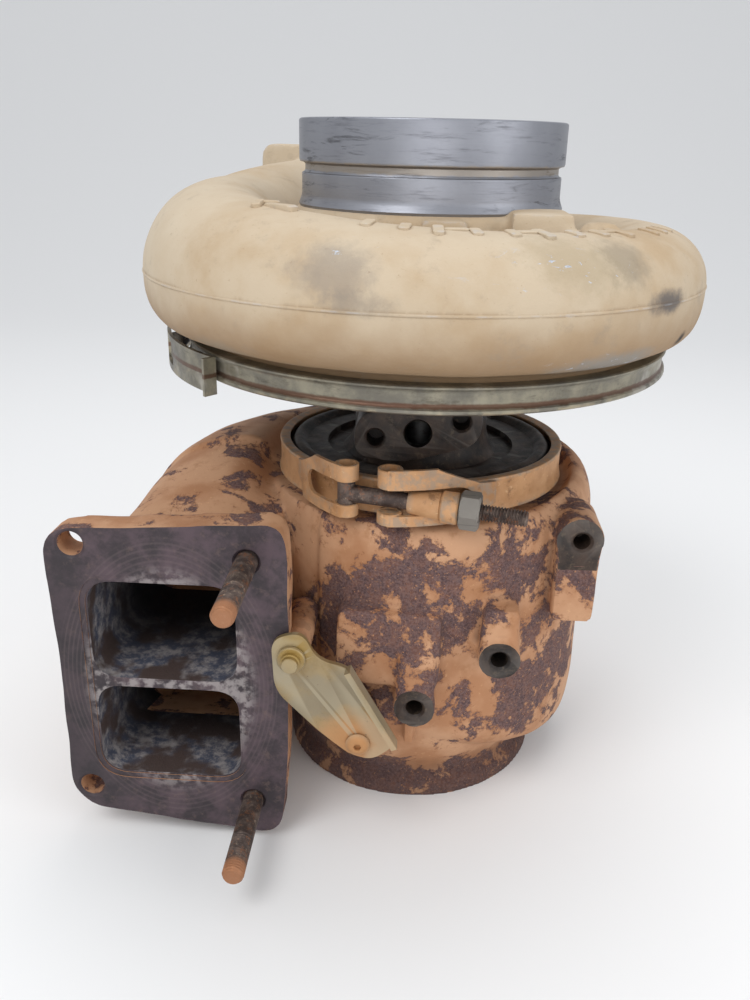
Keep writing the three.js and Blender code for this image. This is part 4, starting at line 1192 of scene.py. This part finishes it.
def turbine_clamp():
    band("turbine_clamp_band_bent", [
        (84.5, 201), (90.8, 201), (91.6, 202), (90.9, 204.5), (90.4, 207), (90.4, 218.5), (90.9, 220.4),
        (90.4, 221.6), (88.6, 222), (84.5, 221.2), (84.5, 220.2), (88, 220.6), (88.8, 218.6), (88.8, 206),
        (88.2, 202.6), (84.5, 202.6)],
        -98, 5, "painted_band", "turbine_clamp_band")
    left = strap_path(-139, -112.8, 93.6, 108.9)
    body = bent_layer("turbine_clamp_loop_left_bent", left, 202.5, 233.3, 1.2)
    for outline in (open_window(0.36, 209.6, 224.2, 0.16),
                    rounded([(-0.1, 190), (0.3, 190), (0.12, 212), (-0.1, 216)], 8),
                    rounded([(-0.1, 222.5), (0.14, 224), (0.55, 233), (0.6, 240), (-0.1, 240)], 7)):
        cut(body, bent_hole(left, outline, 6))
    pin = TURBINE_BOLT["head"]
    arms = [eye_ring(pin, 202.6, 209.8), eye_ring(pin, 223.6, 233.2)]
    join(body, *arms)
    bevelled(body, 0.45)
    piece(body, "painted_band", "turbine_clamp_loop_left")

    right = strap_path(-62, -98.5, 93.4, 109.5)
    body = bent_layer("turbine_clamp_loop_right_bent", right, 201.5, 234.2, 1.2)
    for outline in (open_window(0.26, 207.6, 222.9, 0.2),
                    rounded([(-0.1, 190), (0.34, 190), (0.16, 206), (-0.1, 210)], 8),
                    rounded([(-0.1, 221), (0.18, 222.5), (0.66, 235), (0.7, 244), (-0.1, 244)], 8)):
        cut(body, bent_hole(right, outline, 6))
    pin = round_point(103.7, -98.5, 0)
    arms = [eye_ring(pin, 201.7, 208.6), eye_ring(pin, 223.0, 233.8)]
    join(body, *arms, bar("pin", (pin[0], pin[1], 202.8), (pin[0], pin[1], 207.5), 5.2),
         bar("pin_top", (pin[0], pin[1], 223.6), (pin[0], pin[1], 231.0), 5.2))
    bevelled(body, 0.45)
    piece(body, "painted_band", "turbine_clamp_loop_right")
    clamp_bolt("turbine_clamp_t_bolt", TURBINE_BOLT, "turbine_clamp_bolt", "rusty_steel")
    clamp_sleeve("turbine_clamp_trunnion", TURBINE_BOLT, "turbine_clamp_sleeve", "painted_band")
    clamp_nut("turbine_clamp_hex_nut", TURBINE_BOLT, "turbine_clamp_nut", "turbine_nut")


def eye_ring(centre, low, high, outer=7.0, bore=5.3):
    x, y = centre[:2]
    ring = bar("eye", (x, y, low), (x, y, high), outer, chamfer=0.4)
    return cut(ring, bar("bore", (x, y, low - 1), (x, y, high + 1), bore))


def compressor_clamp():
    band("compressor_clamp_band_bent", [
        (137.5, 276.5), (144.6, 276.5), (145.5, 277.3), (145.3, 278.8), (144.1, 279.7), (143.5, 280.6),
        (143.6, 286.8), (144.2, 288.4), (145.2, 289.4), (145.4, 290.4), (144.6, 291), (137.5, 291),
        (137.5, 289.6), (142, 289.4), (141.9, 287), (141.9, 280.4), (142.4, 278.2), (137.5, 278.1)], 180, 5,
        "clamp_steel", "compressor_clamp_band")
    low, high = 269.8, 290.3
    front = strap_path(221, 186.4, 147.4, 157.8)
    body = bent_layer("compressor_clamp_strap_front_bent", front, low, high, 1.1)
    window = rounded([(0.64, 273.4), (0.93, 273.6), (0.93, 286.9), (0.64, 286.9), (0.60, 280)], 4)
    cut(body, bent_hole(front, window, 6))
    folded_end = ((146.6, 221), (154.5, 221.6), (154.5, 220.8), (146.6, 220.1))
    join(body, loft("fold", [[round_point(r, angle, z) for r, angle in folded_end] for z in (low, high)]))
    bevelled(body, 0.4)
    piece(body, "clamp_steel", "compressor_clamp_strap_front")
    rear = strap_path(139, 173.6, 147.4, 157.8)
    body = bent_layer("compressor_clamp_strap_rear_bent", rear, low, high, 1.1)
    window = rounded([(0.46, 273.4), (0.98, 273.4), (0.98, 287.2), (0.46, 287.2)], 4)
    cut(body, bent_hole(rear, window, 6))
    bevelled(body, 0.4)
    piece(body, "clamp_steel", "compressor_clamp_strap_rear")
    clamp_bolt("compressor_clamp_t_bolt", COMPRESSOR_BOLT, "compressor_clamp_bolt", "dark_steel")
    clamp_sleeve("compressor_clamp_trunnion", COMPRESSOR_BOLT, "compressor_clamp_sleeve", "clamp_steel")
    clamp_nut("compressor_clamp_hex_nut", COMPRESSOR_BOLT, "compressor_clamp_nut", "compressor_nut")


# ---------------------------------------------------------------- studs and bracket


def inlet_studs():
    for place in ("upper", "lower"):
        x, z = HOLES[f"{place}_right"]
        back = FLANGE_BACK + 9
        body = turned(f"inlet_stud_{place}_shank", (x, back, z), (x, -166, z), [
            (0, STUD_RADIUS), (62, STUD_RADIUS), (62.6, STUD_RADIUS - 0.5), (63, STUD_RADIUS - 0.6)])
        screw = threaded("screw", (x, -165.5, z), (x, STUD_TIP, z), STUD_RADIUS, 0.85, 1.75)
        join(body, screw)
        if place == "upper":
            grip = threaded("grip", (x, -132, z), (x, -150, z), STUD_RADIUS + 0.1, 0.75, 1.75)
            join(body, grip)
        piece(body, "rusty_steel", f"inlet_stud_{place}")


def line_bracket():
    outline = rounded([
        (-77.5, 143), (-60, 148.5), (-52, 131), (-33, 127), (-5.5, 78), (-20, 66), (-33, 69), (-50.5, 83.5),
        (-76, 110)], 9, 9)
    face, lip = BRACKET_BACK - 3, BRACKET_BACK - 8.6
    body = prism("line_bracket_pressed", outline, face, BRACKET_BACK)
    fold = [[(x + 0.4, lip, z), (x + 0.4, BRACKET_BACK, z), (x - 2.7, BRACKET_BACK, z - 1.5),
             (x - 2.7, lip, z - 1.5)] for x, z in ((-33.6, 127.4), (-6.2, 78.4))]
    join(body, loft("fold", fold))
    cut(body, *[bar("hole", (x, BRACKET_BACK - 12, z), (x, BRACKET_BACK + 5, z), 4.8)
                for x, z in BRACKET_HOLES.values()])
    bevelled(body, 0.7, 3)
    piece(body, "zinc", "line_bracket")

    x, z = BRACKET_HOLES["upper"]
    body = turned("bracket_stud_plated", (x, BRACKET_BACK + 16, z), (x, face - 9, z), [
        (0, 4.2), (19.3, 4.2), (19.31, 7.4), (19.8, 8), (21.6, 8), (22.3, 7.4), (22.31, 5.4), (24.4, 5.4),
        (24.8, 4.7), (27.4, 4.7), (28, 4.2)])
    piece(body, "zinc", "bracket_stud")
    x, z = BRACKET_HOLES["lower"]
    body = turned("bracket_screw_plated", (x, BRACKET_BACK + 16, z), (x, face - 4, z), [
        (0, 4.2), (19.3, 4.2), (19.31, 6.4), (19.8, 7), (20.4, 7), (21.6, 6.2), (22.4, 4.8), (23, 3.2)])
    cut(body, turned("socket", (x, face - 1.8, z), (x, face - 6, z), [(0, 2.3), (5, 2.3)], 6))
    piece(body, "zinc", "bracket_screw")


# ---------------------------------------------------------------- rotor

WHEEL = 292.5
TURBINE_BACK = 124


def curved_blade(name, stations, thickness, turn, along=16, across=7):
    """Blade through stations of (hub, tip, angle), with smooth sides, thin at its edges."""
    def station(share):
        place = share * (len(stations) - 1)
        i = min(int(place), len(stations) - 2)
        t = place - i
        before, start = stations[max(i - 1, 0)], stations[i]
        end, after = stations[i + 1], stations[min(i + 2, len(stations) - 1)]

        def curve(a, b, c, d):
            square, cube = 2 * a - 5 * b + 4 * c - d, 3 * b - a - 3 * c + d
            return 0.5 * (2 * b + (c - a) * t + square * t * t + cube * t ** 3)

        hub = [curve(*(s[0][k] for s in (before, start, end, after))) for k in range(2)]
        tip = [curve(*(s[1][k] for s in (before, start, end, after))) for k in range(2)]
        return hub, tip, curve(*(s[2] for s in (before, start, end, after)))

    rings = []
    for i in range(along + 1):
        hub, tip, angle = station(i / along)
        edge = 0.35 + 0.65 * min(1, 4 * min(i, along - i) / along)
        sides = ([], [])
        for j in range(across + 1):
            share = j / across
            r = hub[0] + (tip[0] - hub[0]) * share
            z = hub[1] + (tip[1] - hub[1]) * share
            half = thickness / 2 * (1 - 0.55 * share) * edge
            for side, sign in zip(sides, (-1, 1)):
                side.append(round_point(r, angle + turn + degrees(sign * half / r), z))
        rings.append(sides[0] + sides[1][::-1])
    return loft(name, rings)


def compressor_wheel():
    z = WHEEL
    body = lathe("compressor_wheel_cast", [
        (8.4, z - 1.4), (20, z - 1.4), (20, z), (71.2, z), (71.5, z + 0.4), (71.5, z + 1.6), (70.8, z + 2),
        (60, z + 3.4), (50, z + 6), (40, z + 10.4), (32, z + 16), (25, z + 23.6), (20, z + 32), (17, z + 42),
        (15.5, z + 52.6), (14.8, z + 54), (8.4, z + 54)], 120)
    full = [((68.5, z + 1), (71, z + 7.6), 0), ((40, z + 7), (57.5, z + 19), 20),
            ((20, z + 27), (53, z + 36), 44), ((14, z + 48), (52.6, z + 50), 72)]
    blades = []
    for i in range(7):
        blades.append(curved_blade("full", full, 2.2, i * 360 / 7, 20))
        blades.append(curved_blade("splitter", full[:3], 2.2, (i + 0.5) * 360 / 7, 14))
    join(body, *blades)
    piece(body, "wheel_aluminium", "compressor_wheel", "rotor", 40)


def turbine_wheel():
    z = TURBINE_BACK
    body = lathe("turbine_wheel_cast", [
        (0, z + 4), (13.4, z + 4), (13.8, z + 3.6), (13.8, z), (49, z), (50, z - 1), (49, z - 3.4),
        (38, z - 8.6), (30, z - 14), (23, z - 26), (18, z - 42), (14.4, z - 55), (12.6, z - 60),
        (10, z - 63.4), (6, z - 64), (5.5, z - 61), (0, z - 61)], 120)
    stations = [((48, z - 1), (57.6, z - 1.5), 0), ((36, z - 7), (57.6, z - 27), 0),
                ((20, z - 28), (53, z - 46), -12), ((13, z - 54), (50, z - 62), -36)]
    join(body, *[curved_blade("blade", stations, 3.2, i * 36) for i in range(10)])
    piece(body, "wheel_alloy", "turbine_wheel", "rotor", 40)


def rotor_nut():
    low = WHEEL + 54.3
    body = hexagon("rotor_nut_chamfered", (0, 0, low), (0, 0, low + 11), 13, 8.1, 1.2)
    piece(body, "dark_steel", "rotor_nut", "rotor", 25)


def rotor_shaft():
    body = turned("rotor_shaft_ground", (0, 0, TURBINE_BACK + 4.3), (0, 0, 344), [
        (0, 13.4), (16.4, 13.6), (16.7, 11.6), (19.7, 11.6), (20, 13.6), (27.7, 13.6), (29.7, 11),
        (129.7, 11), (129.8, 8), (215.7, 8)], 64)
    join(body, threaded("screw", (0, 0, 343), (0, 0, 362), 8, 0.7, 1.5, 48))
    piece(body, "bare_steel", "rotor_shaft", "rotor")


# ---------------------------------------------------------------- pieces kept from the frame

KEPT = {
    "cover_seal_ring": "seal_rubber",
    "thrust_collar": "bare_steel", "oil_flinger": "bare_steel",
    "oil_baffle": "bare_steel", "heat_shield": "bare_steel",
    "compressor_piston_ring": "dark_steel", "turbine_piston_ring": "dark_steel",
    "journal_bearing_turbine": "bronze", "journal_bearing_compressor": "bronze", "thrust_bearing": "bronze",
}
KEPT.update({f"backplate_bolt_{i}": "dark_steel" for i in range(1, 7)})
KEPT.update({f"bearing_ring_{side}_{end}": "dark_steel"
             for side in ("turbine", "compressor") for end in ("lower", "upper")})


def kept_nodes():
    for name, material in KEPT.items():
        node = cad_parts[name]
        for spot in node.material_slots:
            spot.material = MATERIALS[material]
        if not node.material_slots:
            node.data.materials.append(MATERIALS[material])


# ---------------------------------------------------------------- camera, floor and light


CAMERA_PLACE = 19.3, -556.3, 400.06
CAMERA_TURN = -0.0508, 0.3823, 0.02245          # yaw, pitch down and roll, in radians


def add_camera():
    place = Vector(CAMERA_PLACE) * MM
    yaw, pitch, roll = CAMERA_TURN
    forward = Vector((sin(yaw) * cos(pitch), cos(yaw) * cos(pitch), -sin(pitch)))
    level = Vector((cos(yaw), -sin(yaw), 0))
    upward = level.cross(forward)
    right = level * cos(roll) + upward * sin(roll)
    top = -level * sin(roll) + upward * cos(roll)
    data = bpy.data.cameras.new("camera")
    data.lens = 32.4
    data.sensor_fit = "AUTO"
    data.sensor_width = 36
    data.clip_start = 0.01
    camera = bpy.data.objects.new("camera", data)
    camera.matrix_world = Matrix.Translation(place) @ Matrix((right, top, -forward)).transposed().to_4x4()
    bpy.context.scene.collection.objects.link(camera)
    bpy.context.scene.camera = camera


def add_light(name, place, size, power, target=(0, 0, 0.2)):
    data = bpy.data.lights.new(name, "AREA")
    data.shape = "DISK"
    data.size = size
    data.energy = power
    light = bpy.data.objects.new(name, data)
    light.location = place
    light.rotation_euler = (Vector(target) - Vector(place)).to_track_quat("-Z", "Y").to_euler()
    bpy.context.scene.collection.objects.link(light)


def studio():
    half, back, rise = 4.0, 2.6, 2.4             # metres
    angles = [pi / 2 * i / 24 for i in range(25)]
    rows = [(-half, 0)] + [(back * 0.55 + rise * sin(a), rise - rise * cos(a)) for a in angles]
    verts = [(x, y, z) for y, z in rows for x in (-half, half)]
    mesh = bpy.data.meshes.new("floor")
    mesh.from_pydata(verts, [], [(2 * i, 2 * i + 1, 2 * i + 3, 2 * i + 2) for i in range(len(rows) - 1)])
    mesh.polygons.foreach_set("use_smooth", [True] * len(mesh.polygons))
    floor = bpy.data.objects.new("floor", mesh)
    material = bpy.data.materials.new("pale_floor")
    material.use_nodes = True
    shader = material.node_tree.nodes["Principled BSDF"]
    shader.inputs["Base Color"].default_value = (0.84, 0.84, 0.84, 1)
    shader.inputs["Roughness"].default_value = 0.9
    mesh.materials.append(material)
    bpy.context.scene.collection.objects.link(floor)
    world = bpy.data.worlds.new("studio")
    world.use_nodes = True
    world.node_tree.nodes["Background"].inputs["Color"].default_value = (0.95, 0.97, 1.0, 1)
    world.node_tree.nodes["Background"].inputs["Strength"].default_value = 0.7
    bpy.context.scene.world = world
    bpy.context.scene.view_settings.view_transform = "Standard"
    add_light("key", (-0.7, -1.1, 1.7), 1.1, 15)
    add_light("fill", (1.5, -0.9, 0.8), 1.2, 7)
    add_light("top", (0.2, 0.4, 1.9), 1.0, 8)
    add_light("front", (0.0, -1.7, 0.25), 1.2, 6)


add_camera()
studio()
compressor_cover()
inlet_spigot()
backplate()
bearing_housing()
turbine_housing()
turbine_clamp()
compressor_clamp()
inlet_studs()
line_bracket()
compressor_wheel()
turbine_wheel()
rotor_nut()
rotor_shaft()
kept_nodes()

bpy.context.view_layer.update()
